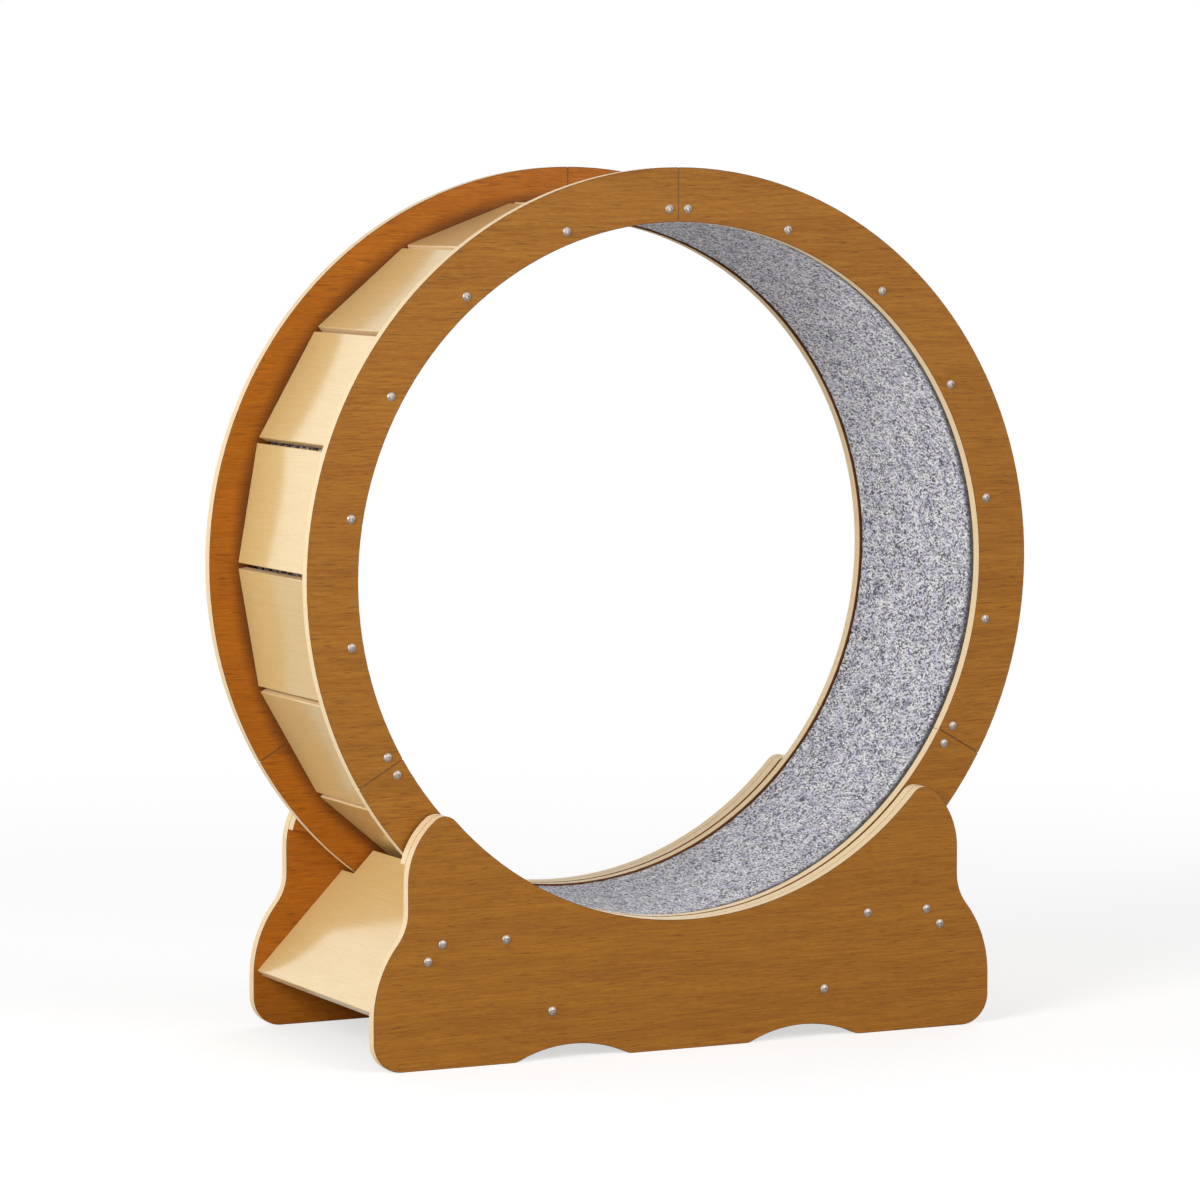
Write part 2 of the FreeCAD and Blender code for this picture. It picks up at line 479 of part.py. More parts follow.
def half_panel_outline(body, name):
    """Right half of a side panel, with every curve tangent to its neighbours.

    It runs from the middle of the lower edge to the right, over the arch and the foot, up past
    hip, waist and ear, and back along the cradle, which lines up with the rings' inner edge.
    """
    centre_height = value(CENTRE_HEIGHT)
    cradle = value(RING_INNER_RADIUS)
    arch_end = value("Sizes.arch_end_radius")
    arch = value("Sizes.arch_radius")
    arch_x = value("Sizes.arch_centre")
    rise = value("Sizes.arch_rise")
    foot = value("Sizes.foot_radius")
    hip = value("Sizes.hip_radius")
    hip_x = value("Sizes.hip_half_width")
    waist = value("Sizes.waist_radius")
    waist_x = hip_x - value("Sizes.waist_depth")
    shoulder = value("Sizes.shoulder_radius")
    ear = value("Sizes.ear_radius")

    wheel_centre = Vector(0, centre_height, 0)
    arch_centre = Vector(arch_x, rise - arch, 0)
    arch_run = math.sqrt((arch + arch_end) ** 2 - (arch + arch_end - rise) ** 2)
    arch_ends = [Vector(arch_x + side * arch_run, arch_end, 0) for side in (-1, 1)]
    foot_centre = Vector(hip_x - foot, foot, 0)
    hip_centre = Vector(hip_x - hip, value("Sizes.hip_height"), 0)
    waist_centre_x = waist_x + waist
    waist_climb = math.sqrt((hip + waist) ** 2 - (waist_centre_x - hip_centre.x) ** 2)
    waist_centre = Vector(waist_centre_x, hip_centre.y + waist_climb, 0)
    shoulder_height = waist_centre.y + value("Sizes.waist_length")
    shoulder_centre = Vector(waist_x - shoulder, shoulder_height, 0)
    to_shoulder = shoulder_centre - wheel_centre
    along = ((cradle + ear) ** 2 - (shoulder - ear) ** 2 + to_shoulder.Length**2) / (
        2 * to_shoulder.Length)
    across = math.sqrt((cradle + ear) ** 2 - along**2)
    unit = Vector(to_shoulder).normalize()
    ear_centre = wheel_centre + unit * along + Vector(-unit.y, unit.x, 0) * across

    stops = [
        Vector(0, 0, 0),
        Vector(arch_ends[0].x, 0, 0),
        toward(arch_centre, arch_ends[0], arch),
        toward(arch_centre, arch_ends[1], arch),
        Vector(arch_ends[1].x, 0, 0),
        Vector(foot_centre.x, 0, 0),
        Vector(hip_x, foot, 0),
        Vector(hip_x, hip_centre.y, 0),
        toward(hip_centre, waist_centre, hip),
        Vector(waist_x, waist_centre.y, 0),
        Vector(waist_x, shoulder_centre.y, 0),
        toward(shoulder_centre, ear_centre, shoulder),
        toward(wheel_centre, ear_centre, cradle),
        Vector(0, centre_height - cradle, 0),
    ]
    # Each side's radius, 0 for a straight one, and whether the arc turns left on its way.
    bends = [(0, True), (arch_end, True), (arch, False), (arch_end, True), (0, True), (foot, True),
             (0, True), (hip, True), (waist, False), (0, True), (shoulder, True), (ear, True),
             (cradle, False), (0, True)]

    sketch = new_sketch(body, name, "XZ_Plane")
    for index, (radius, left) in enumerate(bends):
        start = stops[index]
        end = stops[(index + 1) % len(stops)]
        shape = arc_through(start, end, radius, left) if radius else Part.LineSegment(start, end)
        sketch.addGeometry(shape, False)
    ends = add_tangent_chain(sketch, [left for _, left in bends][:-1])
    (floor_in, arch_in, arch_top, arch_out, floor_out, foot_arc, side, hip_arc, waist_arc,
     waist_line, shoulder_arc, ear_arc, cradle_arc, middle) = range(len(bends))
    constrain = sketch.addConstraint
    constrain(Sketcher.Constraint("Coincident", -1, 1, floor_in, 1))
    constrain(Sketcher.Constraint("Coincident", cradle_arc, ends[cradle_arc][1], middle, 1))
    constrain(Sketcher.Constraint("Coincident", middle, 2, floor_in, 1))
    constrain(Sketcher.Constraint("PointOnObject", floor_in, 2, -1))
    constrain(Sketcher.Constraint("PointOnObject", floor_out, 1, -1))
    constrain(Sketcher.Constraint("PointOnObject", floor_out, 2, -1))
    constrain(Sketcher.Constraint("Vertical", side))
    constrain(Sketcher.Constraint("Vertical", waist_line))
    constrain(Sketcher.Constraint("PointOnObject", middle, 1, -2))
    constrain(Sketcher.Constraint("PointOnObject", cradle_arc, 3, -2))
    constrain(Sketcher.Constraint("Equal", arch_in, arch_out))
    drive(sketch, "Sizes.arch_end_radius", "Radius", arch_in)
    drive(sketch, "Sizes.arch_radius", "Radius", arch_top)
    drive(sketch, "Sizes.arch_centre", "DistanceX", -1, 1, arch_top, 3)
    drive(sketch, "Sizes.arch_rise - Sizes.arch_radius", "DistanceY", -1, 1, arch_top, 3)
    drive(sketch, "Sizes.foot_radius", "Radius", foot_arc)
    drive(sketch, "Sizes.hip_half_width", "DistanceX", -1, 1, side, 1)
    drive(sketch, "Sizes.hip_height", "DistanceY", -1, 1, hip_arc, 3)
    drive(sketch, "Sizes.hip_radius", "Radius", hip_arc)
    drive(sketch, "Sizes.hip_half_width - Sizes.waist_depth", "DistanceX", -1, 1, waist_line, 1)
    drive(sketch, "Sizes.waist_radius", "Radius", waist_arc)
    drive(sketch, "Sizes.waist_length", "DistanceY", waist_line, 1, waist_line, 2)
    drive(sketch, "Sizes.shoulder_radius", "Radius", shoulder_arc)
    drive(sketch, "Sizes.ear_radius", "Radius", ear_arc)
    drive(sketch, RING_INNER_RADIUS, "Radius", cradle_arc)
    drive(sketch, CENTRE_HEIGHT, "DistanceY", -1, 1, cradle_arc, 3)
    return sketch


def guard_bolt(side, step):
    """X and Z of a guard board's bolt: side is -1 on the left, step is -1 for the lower bolt."""
    reach = f"{step} * Sizes.guard_bolt_spacing / 2"
    x = f"{side} * ({GUARD_BOLT_X} - {reach} * cos(Sizes.guard_slope))"
    z = f"({GUARD_BOLT_Z} + {reach} * sin(Sizes.guard_slope))"
    return x, z


def panel_blank(body, thickness):
    """Board with a side panel's whole outline."""
    half = pad(body, half_panel_outline(body, f"{body.Name}_outline"), thickness)
    whole = body.newObject("PartDesign::Mirrored", f"{body.Name}_mirrored")
    whole.Originals = [half]
    whole.MirrorPlane = (origin_feature(body, "YZ_Plane"), [""])
    body.Tip = whole
    return whole


def make_side_panel(label, panel_y):
    body = new_body(label, ("0", panel_y, "0"))
    ease_edges(body, panel_blank(body, "Sizes.panel_thickness"))
    for side, name in ((-1, "left"), (1, "right")):
        places = {
            "axle": (f"{side} * {AXLE_X}", AXLE_Z),
            "rail": (f"{side} * Sizes.rail_half_spacing", "Sizes.rail_height"),
            "guard_low": guard_bolt(side, -1),
            "guard_high": guard_bolt(side, 1),
        }
        for tag, (x, z) in places.items():
            drill(body, f"{tag}_{name}", "Sizes.bolt_hole_diameter", "Sizes.panel_thickness",
                  (x, "-Sizes.panel_thickness / 2", z))


def make_panel_liner(label, face_sign):
    """Upper part of a side panel's outline, cut off along an arc that the ring hides.

    A short ledge runs from each end of that arc out to the panel's edge.
    """
    body = new_body(label, ("0", f"{face_sign} * {LINER_MIDDLE}", "0"))
    panel_blank(body, "Sizes.liner_thickness")
    far = f"({LINER_END_X} + Sizes.hip_half_width)"
    ledge = f"({LINER_END_Z} + Sizes.hip_half_width * tan(Sizes.liner_ledge_slope))"
    below = "-Sizes.foot_radius"
    corners = [
        (f"-{far}", below),
        (far, below),
        (far, ledge),
        (LINER_END_X, LINER_END_Z),
        (f"-{LINER_END_X}", LINER_END_Z),
        (f"-{far}", ledge),
    ]
    lower_part = profile(body, f"{label}_lower_part", "XZ_Plane", corners,
                         {3: (LINER_RADIUS, False)})
    trim = body.newObject("PartDesign::Pocket", f"{label}_trim")
    trim.Profile = lower_part
    trim.SideType = "Symmetric"
    trim.setExpression("Length", "2 * Sizes.liner_thickness")
    doc.recompute()
    # Only the edges on the side of the wheel are eased. The others meet the panel.
    wheel_side = -face_sign * value("Sizes.liner_thickness / 2")
    eased = [f"Edge{number}" for number, edge in enumerate(trim.Shape.Edges, start=1)
             if all(math.isclose(corner.Y, wheel_side) for corner in edge.Vertexes)]
    ease_edges(body, trim, eased)


def make_guard_board(label, side):
    """Sloping board with a tongue that reaches up between the rings.

    In the board's own frame, Z runs up the slope from the middle of its bolts.
    """
    body = new_body(label, (f"{side} * {GUARD_BOLT_X}", "0", GUARD_BOLT_Z),
                    f"{-side} * (90 - Sizes.guard_slope)")
    top = up_the_guard(SLAT_CORNER_RADIUS)
    shoulder = up_the_guard("Sizes.ring_outer_radius")
    section = profile(body, f"{label}_section", "XZ_Plane", rectangle(
        "Sizes.guard_thickness / 2", "-Sizes.guard_lower_length", top))
    board = pad(body, section, f"2 * {PANEL_INNER_FACE}")
    notch_width = f"({PANEL_INNER_FACE} - Sizes.track_width / 2 + Sizes.guard_clearance)"
    for end, name in ((-1, "front"), (1, "back")):
        notch = body.newObject("PartDesign::SubtractiveBox", f"{label}_notch_{name}")
        notch.setExpression("Length", "Sizes.guard_thickness")
        notch.setExpression("Width", notch_width)
        notch.setExpression("Height", f"{top} - {shoulder}")
        low_y = f"-{PANEL_INNER_FACE}" if end < 0 else f"{PANEL_INNER_FACE} - {notch_width}"
        place(notch, ("-Sizes.guard_thickness / 2", low_y, shoulder))
    ease_edges(body, notch)
    # The cross dowels go in from the board's under side, which the wheel hides.
    nut_depth = "(Sizes.guard_thickness + Sizes.barrel_nut_length) / 2"
    nut_rotation = Rotation(Y_AXIS, 90 * side)
    for step in (-1, 1):
        z = f"{step} * Sizes.guard_bolt_spacing / 2"
        drill_board_end(body, PANEL_INNER_FACE, "0", z,
                        (f"{-side} * Sizes.guard_thickness / 2", z, nut_rotation), nut_depth,
                        "low" if step < 0 else "high")


def make_cross_rail(label, side):
    body = new_body(label, (f"{side} * Sizes.rail_half_spacing", "0", "Sizes.rail_height"))
    section = profile(body, f"{label}_section", "XZ_Plane", rectangle(
        "Sizes.rail_width / 2", "-Sizes.rail_depth / 2", "Sizes.rail_depth / 2"))
    ease_edges(body, pad(body, section, f"2 * {PANEL_INNER_FACE}"))
    nut_depth = "(Sizes.rail_depth + Sizes.barrel_nut_length) / 2"
    drill_board_end(body, PANEL_INNER_FACE, "0", "0",
                    ("0", "-Sizes.rail_depth / 2", Rotation()), nut_depth, "only")


make_side_panel("front_side_panel", f"-{PANEL_MIDDLE}")
make_side_panel("back_side_panel", PANEL_MIDDLE)
make_panel_liner("front_panel_liner", -1)
make_panel_liner("back_panel_liner", 1)
for side, name in ((-1, "left"), (1, "right")):
    make_guard_board(f"{name}_guard_board", side)
    make_cross_rail(f"{name}_cross_rail", side)


# Rollers, and the hardware on their axles.


def make_roller(label, x, y):
    """Grooved roller with a bearing seat at each end of its bore."""
    body = new_body(label, (x, y, AXLE_Z))
    rim_edge = f"({ROLLER_RIM} - Sizes.roller_edge)"
    shoulder = f"({ROLLER_HALF} - Sizes.bearing_width)"
    half = [
        ("Sizes.roller_bore_radius", shoulder),
        (BEARING_SEAT, shoulder),
        (BEARING_SEAT, ROLLER_HALF),
        (rim_edge, ROLLER_HALF),
        (ROLLER_RIM, f"({ROLLER_HALF} - Sizes.roller_edge)"),
        (ROLLER_RIM, f"({GROOVE_HALF} + Sizes.roller_flange_taper)"),
        (ROLLER_ROOT, GROOVE_HALF),
    ]
    lower = [(radius, f"-{y_place}") for radius, y_place in half]
    revolve(body, profile(body, f"{label}_section", "XY_Plane", lower + half[::-1]))


def make_bearing_ring(name, wall, land, turns_left):
    """One ring of a ball bearing, round the Y axis, with the groove for its balls."""
    body = new_body(name, node=False)
    width = "Sizes.bearing_width / 2"
    groove_radius = "(Sizes.bearing_ball_diameter / 2 + Sizes.bearing_play)"
    groove = f"sqrt({groove_radius} ^ 2 - Sizes.bearing_land ^ 2)"
    corners = [
        (wall, f"-{width}"),
        (land, f"-{width}"),
        (land, f"-{groove}"),
        (land, groove),
        (land, width),
        (wall, width),
    ]
    revolve(body, profile(body, f"{name}_section", "XY_Plane", corners,
                          {2: (groove_radius, turns_left)}))
    return body


def make_lock_nut():
    """Lock nut with a round collar: its axis is on Z, and its seat is at the origin."""
    prism = doc.addObject("Part::Prism", "lock_nut_flats")
    prism.Polygon = 6
    prism.setExpression("Circumradius", "Sizes.lock_nut_width / 2 / cos(30)")
    prism.setExpression("Height", "Sizes.lock_nut_flat_height")
    collar = doc.addObject("Part::Cylinder", "lock_nut_collar")
    collar.setExpression("Radius", "Sizes.lock_nut_collar_diameter / 2")
    collar.setExpression("Height", "Sizes.lock_nut_height")
    blank = doc.addObject("Part::Fuse", "lock_nut_blank")
    blank.Base, blank.Tool = prism, collar
    bore = doc.addObject("Part::Cylinder", "lock_nut_bore")
    bore.setExpression("Radius", f"{SHAFT_BORE} / 2")
    bore.setExpression("Height", "Sizes.lock_nut_height")
    nut = doc.addObject("Part::Cut", "lock_nut")
    nut.Base, nut.Tool = blank, bore
    return nut


inner_wall = f"({SHAFT_BORE} / 2)"
inner_land = "(Sizes.bearing_pitch_radius - Sizes.bearing_land)"
outer_land = "(Sizes.bearing_pitch_radius + Sizes.bearing_land)"
inner_ring = make_bearing_ring("inner_ring", inner_wall, inner_land, False)
outer_ring = make_bearing_ring("outer_ring", BEARING_RADIUS, outer_land, True)
ball = doc.addObject("Part::Sphere", "ball")
ball.setExpression("Radius", "Sizes.bearing_ball_diameter / 2")
spacer = tube("spacer", "Sizes.spacer_diameter", SPACER_LENGTH)
sleeve = tube("sleeve", "Sizes.spacer_diameter", SLEEVE_LENGTH)
washer = tube("washer", "Sizes.washer_diameter", "Sizes.washer_thickness")
lock_nut = make_lock_nut()
ring_bolt = make_bolt("ring_bolt", "(Sizes.ring_thickness + Sizes.bolt_grip)")
panel_bolt = make_bolt("panel_bolt", "(Sizes.panel_thickness + Sizes.bolt_grip)")
axle_bolt = make_bolt("axle_bolt", AXLE_BOLT_LENGTH)
barrel_nut = make_barrel_nut()
sides = {"left": -1, "right": 1}
faces = {"front": -1, "back": 1}
for face, face_sign in faces.items():
    for name, side in sides.items():
        make_roller(f"{face}_{name}_roller", f"{side} * {AXLE_X}", f"{face_sign} * {RING_MIDDLE}")
doc.recompute()

# Hardware is copied from its templates after the document is up to date. On each axle the local
# -Y side faces the panel, so a station at the back is turned round.

ring_bolts = {"front": [], "back": []}
slat_nuts = []
for number in range(SLATS):
    for offset in slat_bolt_offsets(number):
        across, out = value(offset), value(SLAT_RADIUS)
        turned = Placement(Vector(0, 0, value(CENTRE_HEIGHT)), Rotation(Y_AXIS, number * SLAT_PITCH))
        for face, face_sign in faces.items():
            head_y = face_sign * value(RING_FACE)
            facing = Rotation() if face_sign < 0 else TURNED_ROUND
            ring_bolts[face].append(turned * Placement(Vector(across, head_y, out), facing))
            nut_y = face_sign * value("Sizes.track_width / 2 - Sizes.barrel_nut_setback")
            slat_nuts.append(turned * Placement(Vector(across, nut_y, out), Rotation()))
copies("front_ring_bolts", ring_bolt, ring_bolts["front"])
copies("back_ring_bolts", ring_bolt, ring_bolts["back"])
copies("slat_barrel_nuts", barrel_nut, slat_nuts)

base_nuts = []
for face, face_sign in faces.items():
    facing = Rotation() if face_sign < 0 else TURNED_ROUND
    head_y = face_sign * value(PANEL_OUTER_FACE)
    nut_y = face_sign * value(f"{PANEL_INNER_FACE} - Sizes.barrel_nut_setback")
    heads = []
    for side in sides.values():
        slope = Rotation(Y_AXIS, -side * (90 - value("Sizes.guard_slope")))
        guard_nut = slope * Rotation(Y_AXIS, 90 * side)
        for step in (-1, 1):
            x, z = [value(expression) for expression in guard_bolt(side, step)]
            heads.append(Placement(Vector(x, head_y, z), facing))
            base_nuts.append(Placement(Vector(x, nut_y, z), guard_nut))
        x, z = side * value("Sizes.rail_half_spacing"), value("Sizes.rail_height")
        heads.append(Placement(Vector(x, head_y, z), facing))
        base_nuts.append(Placement(Vector(x, nut_y, z), Rotation()))
    copies(f"{face}_panel_bolts", panel_bolt, heads)
copies("base_barrel_nuts", barrel_nut, base_nuts)


def along_axle(station, y, rotation=Rotation()):
    """Place at a distance y along a roller's axle, from the roller's middle."""
    return station * Placement(Vector(0, y, 0), rotation)


roller_half = value(ROLLER_HALF)
bearing_y = roller_half - value("Sizes.bearing_width / 2")
washer_thickness = value("Sizes.washer_thickness")
spacer_y = -roller_half - value(f"{SPACER_LENGTH} / 2")
head_y = value(f"{RING_MIDDLE} - {PANEL_OUTER_FACE}")
pitch_radius = value("Sizes.bearing_pitch_radius")
stations = []
for face, face_sign in faces.items():
    facing = Rotation() if face_sign < 0 else TURNED_ROUND
    for name, side in sides.items():
        middle = Vector(side * value(AXLE_X), face_sign * value(RING_MIDDLE), value(AXLE_Z))
        station = Placement(middle, facing)
        stations.append(station)
        bearings = [along_axle(station, y) for y in (-bearing_y, bearing_y)]
        balls = []
        for bearing in bearings:
            for count in range(BEARING_BALLS):
                turn = Placement(Vector(), Rotation(Y_AXIS, 360.0 * count / BEARING_BALLS))
                balls.append(bearing * turn * Placement(Vector(0, 0, pitch_radius), Rotation()))
        copies(f"{face}_{name}_bearing_outer_rings", outer_ring, bearings)
        copies(f"{face}_{name}_bearing_balls", ball, balls)

copies("bearing_inner_rings", inner_ring,
       [along_axle(station, y) for station in stations for y in (-bearing_y, bearing_y)])
copies("axle_bolts", axle_bolt, [along_axle(station, head_y) for station in stations])
copies("axle_spacers", spacer, [along_axle(station, spacer_y, ALONG_Y) for station in stations])
copies("bearing_sleeves", sleeve, [along_axle(station, 0, ALONG_Y) for station in stations])
copies("axle_washers", washer,
       [along_axle(station, roller_half + washer_thickness / 2, ALONG_Y) for station in stations])
copies("axle_lock_nuts", lock_nut,
       [along_axle(station, roller_half + washer_thickness, ALONG_Y) for station in stations])
doc.recompute()

# Every object has to be sound before anything is written.

for thing in doc.Objects:
    if "Invalid" in thing.State or "Error" in thing.State:
        raise RuntimeError(f"{thing.Label} is {thing.State}")
for sketch in doc.findObjects("Sketcher::SketchObject"):
    if sketch.solve() != 0:
        raise RuntimeError(f"{sketch.Label} does not solve")
for label, thing in nodes.items():
    if thing.Shape.isNull() or not thing.Shape.isValid():
        raise RuntimeError(f"{label} has no valid shape")
    if thing.isDerivedFrom("PartDesign::Body") and len(thing.Shape.Solids) != 1:
        raise RuntimeError(f"{label} has {len(thing.Shape.Solids)} solids")
for thing in doc.Objects:
    is_cut = thing.TypeId.startswith(("PartDesign::Subtractive", "PartDesign::Pocket"))
    if is_cut and thing.Shape.Volume >= thing.BaseFeature.Shape.Volume - 0.1:
        raise RuntimeError(f"{thing.Label} cuts nothing")

os.makedirs("parts", exist_ok=True)
for label, thing in nodes.items():
    thing.Shape.exportStep(f"parts/{label}.step")
    box = thing.Shape.BoundBox
    print(f"{label}: {len(thing.Shape.Solids)} solids, {thing.Shape.Volume / 1000:.1f} cm3,"
          f" x {box.XMin:.1f} {box.XMax:.1f}, y {box.YMin:.1f} {box.YMax:.1f},"
          f" z {box.ZMin:.1f} {box.ZMax:.1f}")
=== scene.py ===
# %% [markdown]
# # Dressing a cat exercise wheel
# The construction comes in finished and at its real size. Two plywood rings, each screwed up from
# three segments, are joined by eighteen slats into an open drum. The drum turns on four small
# rollers in a scalloped cradle. What is missing is how it all looks, and its carpet.
# This lesson sets up the camera, builds the finishes, rolls the carpet into the drum, and lights
# the whole thing like a product photograph.

# %% Load the construction
import math

import bpy
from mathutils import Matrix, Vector


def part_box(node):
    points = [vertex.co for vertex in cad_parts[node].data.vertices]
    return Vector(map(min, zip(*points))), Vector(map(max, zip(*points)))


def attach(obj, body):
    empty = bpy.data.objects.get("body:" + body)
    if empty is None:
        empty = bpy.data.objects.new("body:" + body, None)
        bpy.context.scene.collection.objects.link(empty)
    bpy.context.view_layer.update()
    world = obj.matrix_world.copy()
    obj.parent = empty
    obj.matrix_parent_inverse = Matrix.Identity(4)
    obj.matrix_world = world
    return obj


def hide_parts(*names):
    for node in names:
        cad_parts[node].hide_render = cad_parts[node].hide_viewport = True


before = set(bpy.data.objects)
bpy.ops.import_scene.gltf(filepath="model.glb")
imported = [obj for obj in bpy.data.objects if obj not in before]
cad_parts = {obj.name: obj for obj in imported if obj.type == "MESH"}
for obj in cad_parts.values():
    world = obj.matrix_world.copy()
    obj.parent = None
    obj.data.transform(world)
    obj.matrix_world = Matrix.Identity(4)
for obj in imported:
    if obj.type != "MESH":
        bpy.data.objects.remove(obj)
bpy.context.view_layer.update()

bpy.ops.object.select_all(action="DESELECT")
scene = bpy.context.scene
print("pieces in the construction:", len(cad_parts))

# %% [markdown]
# ## The camera
# The photograph looks at the wheel from its front left, a little above the axle, through a long
# lens. A long lens keeps the two rings nearly the same size, though one stands 330 mm behind the
# other. The place, heading and tilt below put the drawn circles of both rings over the photographed
# ones. The camera is made first, so that every later cell can be judged through it.

# %% Set up the camera
CAMERA_PLACE = (-2.8705, -5.8037, 1.1098)
CAMERA_HEADING = math.radians(26.1)
CAMERA_TILT = math.radians(-4.98)
FILM_WIDTH = 36
LENS_LENGTH = 153.14
FARTHEST_SEEN = 100

bpy.ops.object.camera_add(
    location=CAMERA_PLACE,
    rotation=(math.radians(90) + CAMERA_TILT, 0, -CAMERA_HEADING),
)
camera = bpy.context.object
camera.name = "camera"
camera.data.sensor_width = FILM_WIDTH
camera.data.lens = LENS_LENGTH
camera.data.clip_end = FARTHEST_SEEN
scene.camera = camera
scene.view_settings.view_transform = "Standard"
print("lens in mm:", round(camera.data.lens, 1))

# %% [markdown]
# ## Measures read from the construction
# The finishes need to know where the drum's axle is and where a board's surface is, so that a
# layered edge lines up with its board. These are read from the pieces themselves and not typed in
# again. The carpet that came with the construction is a plain band. Its box gives the axle's height
# and the radius that the carpet's backing lies on.

# %% Measure the drum
track_low, track_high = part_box("carpet_track")
AXLE = (track_low + track_high) / 2
BACKING_RADIUS = (track_high.z - track_low.z) / 2
CARPET_WIDTH = track_high.y - track_low.y
ring_low, ring_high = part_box("back_ring_right")
RING_THICKNESS = ring_high.y - ring_low.y
print("axle height in mm:", round(1000 * AXLE.z, 1))
print("backing radius in mm:", round(1000 * BACKING_RADIUS, 1))

# %% [markdown]
# ## Helpers for building finishes
# A finish is a graph of small nodes, and a few helpers keep the cells short. `colour` turns the
# screen values that a paint card would give into the linear ones that the renderer works in. `add`
# places one node and fills or connects its inputs. The next helpers each add one common step with
# it: arithmetic, a rescaled value, a blend of two colours, or noise. `start_group` opens a node
# group, which is a named effect with its own inputs and outputs that several finishes can share.

# %% Helpers for nodes
def colour(red, green, blue):
    """Screen values from 0 to 255 as the linear colour that a node takes."""
    def linear(value):
        share = value / 255
        return share / 12.92 if share <= 0.04045 else ((share + 0.055) / 1.055) ** 2.4
    return (linear(red), linear(green), linear(blue), 1)


NODE_STEP = 190


def add(tree, kind, inputs=None, **settings):
    """One node of that kind. An input is a plain value, or the output that feeds it."""
    node = tree.nodes.new(kind)
    node.location = (NODE_STEP * len(tree.nodes), 0)
    for name, value in settings.items():
        setattr(node, name, value)
    for key, value in (inputs or {}).items():
        if isinstance(value, bpy.types.NodeSocket):
            tree.links.new(value, node.inputs[key])
        else:
            node.inputs[key].default_value = value
    return node


def maths(tree, operation, *values):
    """The result of one step of arithmetic on numbers or outputs."""
    inputs = dict(enumerate(values))
    return add(tree, "ShaderNodeMath", inputs, operation=operation).outputs[0]


def vector_maths(tree, operation, *values, output="Vector"):
    """The result of one step of arithmetic on vectors."""
    inputs = dict(enumerate(values))
    return add(tree, "ShaderNodeVectorMath", inputs, operation=operation).outputs[output]


def rescale(tree, value, low, high, new_low=0.0, new_high=1.0):
    """value with low..high stretched over new_low..new_high, eased and held at both ends."""
    inputs = {
        "Value": value, "From Min": low, "From Max": high, "To Min": new_low, "To Max": new_high,
    }
    return add(tree, "ShaderNodeMapRange", inputs, interpolation_type="SMOOTHSTEP").outputs["Result"]


def blend(tree, share, first, second, how="MIX"):
    """A colour between first, where share is 0, and second, where it is 1."""
    node = add(tree, "ShaderNodeMix", data_type="RGBA", blend_type=how)
    sockets = {"Factor_Float": share, "A_Color": first, "B_Color": second}
    for socket in node.inputs:
        if socket.identifier in sockets:
            value = sockets[socket.identifier]
            if isinstance(value, bpy.types.NodeSocket):
                tree.links.new(value, socket)
            else:
                socket.default_value = value
    return next(socket for socket in node.outputs if socket.identifier == "Result_Color")


def noise(tree, position, size, detail=2.0, roughness=0.5):
    """Soft random cloudiness from 0 to 1, whose blots are about size metres across."""
    inputs = {"Vector": position, "Scale": 1 / size, "Detail": detail, "Roughness": roughness}
    return add(tree, "ShaderNodeTexNoise", inputs).outputs["Fac"]


def nudge(tree, value, cloud, amount):
    """value moved up and down by a noise, amount from its lowest to its highest."""
    centred = maths(tree, "SUBTRACT", cloud, 0.5)
    return maths(tree, "ADD", value, maths(tree, "MULTIPLY", centred, amount))


def start_group(name, inputs, outputs):
    """A new group and the node that brings its inputs. The sockets are given as {name: kind}."""
    group = bpy.data.node_groups.new(name, "ShaderNodeTree")
    for label, kind in inputs.items():
        group.interface.new_socket(name=label, in_out="INPUT", socket_type=kind)
    for label, kind in outputs.items():
        group.interface.new_socket(name=label, in_out="OUTPUT", socket_type=kind)
    return group, add(group, "NodeGroupInput")


def finish_group(group, results):
    """Connects {output name: what feeds it} to the group's end."""
    end = add(group, "NodeGroupOutput")
    for label, value in results.items():
        group.links.new(value, end.inputs[label])
    print("group", group.name, "has", len(group.nodes), "nodes")


NUMBER = "NodeSocketFloat"
VECTOR = "NodeSocketVector"
print("kinds of socket:", NUMBER, "and", VECTOR)

# %% [markdown]
# ## Wood grain
# The rings and the cradle are faced with a fine straight-grained veneer. Its lines run level over
# every segment, a millimetre or two apart, and are broken up by short darker dashes where pores
# were cut open. Grain could be drawn with wave textures, but those repeat. Noise squeezed across
# the grain and stretched along it never does, so four layers of it are used: fine lines, broad
# soft bands, dashes and tiny pores. A slow wander bends the lines a little, as in a real sheet.
# The group expects a position in metres with the grain along X. It sits in a group because the
# stained faces and the pale birch boards both need it, each with its own contrast.

# %% The wood grain group
WANDER_SIZE = 0.22
WANDER_REACH = 0.010
# The blots of each layer: their length with the grain, width across it and depth into the board.
FINE_LINE = (0.045, 0.0017, 0.03)
BROAD_BAND = (0.40, 0.022, 0.05)
TINY_PORE = (0.010, 0.0009, 0.02)
DASH = (0.024, 0.0019, 0.02)
# The part of the noise's range that each layer uses, and its weight in the tone.
LINES_SPREAD, LINES_WEIGHT = (0.28, 0.72), 0.50
BANDS_SPREAD, BANDS_WEIGHT = (0.30, 0.70), 0.20
PORES_SPREAD, PORES_WEIGHT = (0.30, 0.70), 0.30
DASH_SPREAD, DASH_DENT = (0.58, 0.74), 0.6


def squeezed_noise(tree, position, blot, detail=2.0):
    """Noise whose blots have the length, width and depth that blot gives."""
    length, width, depth = blot
    scaled = vector_maths(tree, "MULTIPLY", position, (1 / length, 1 / depth, 1 / width))
    return noise(tree, scaled, 1, detail=detail)


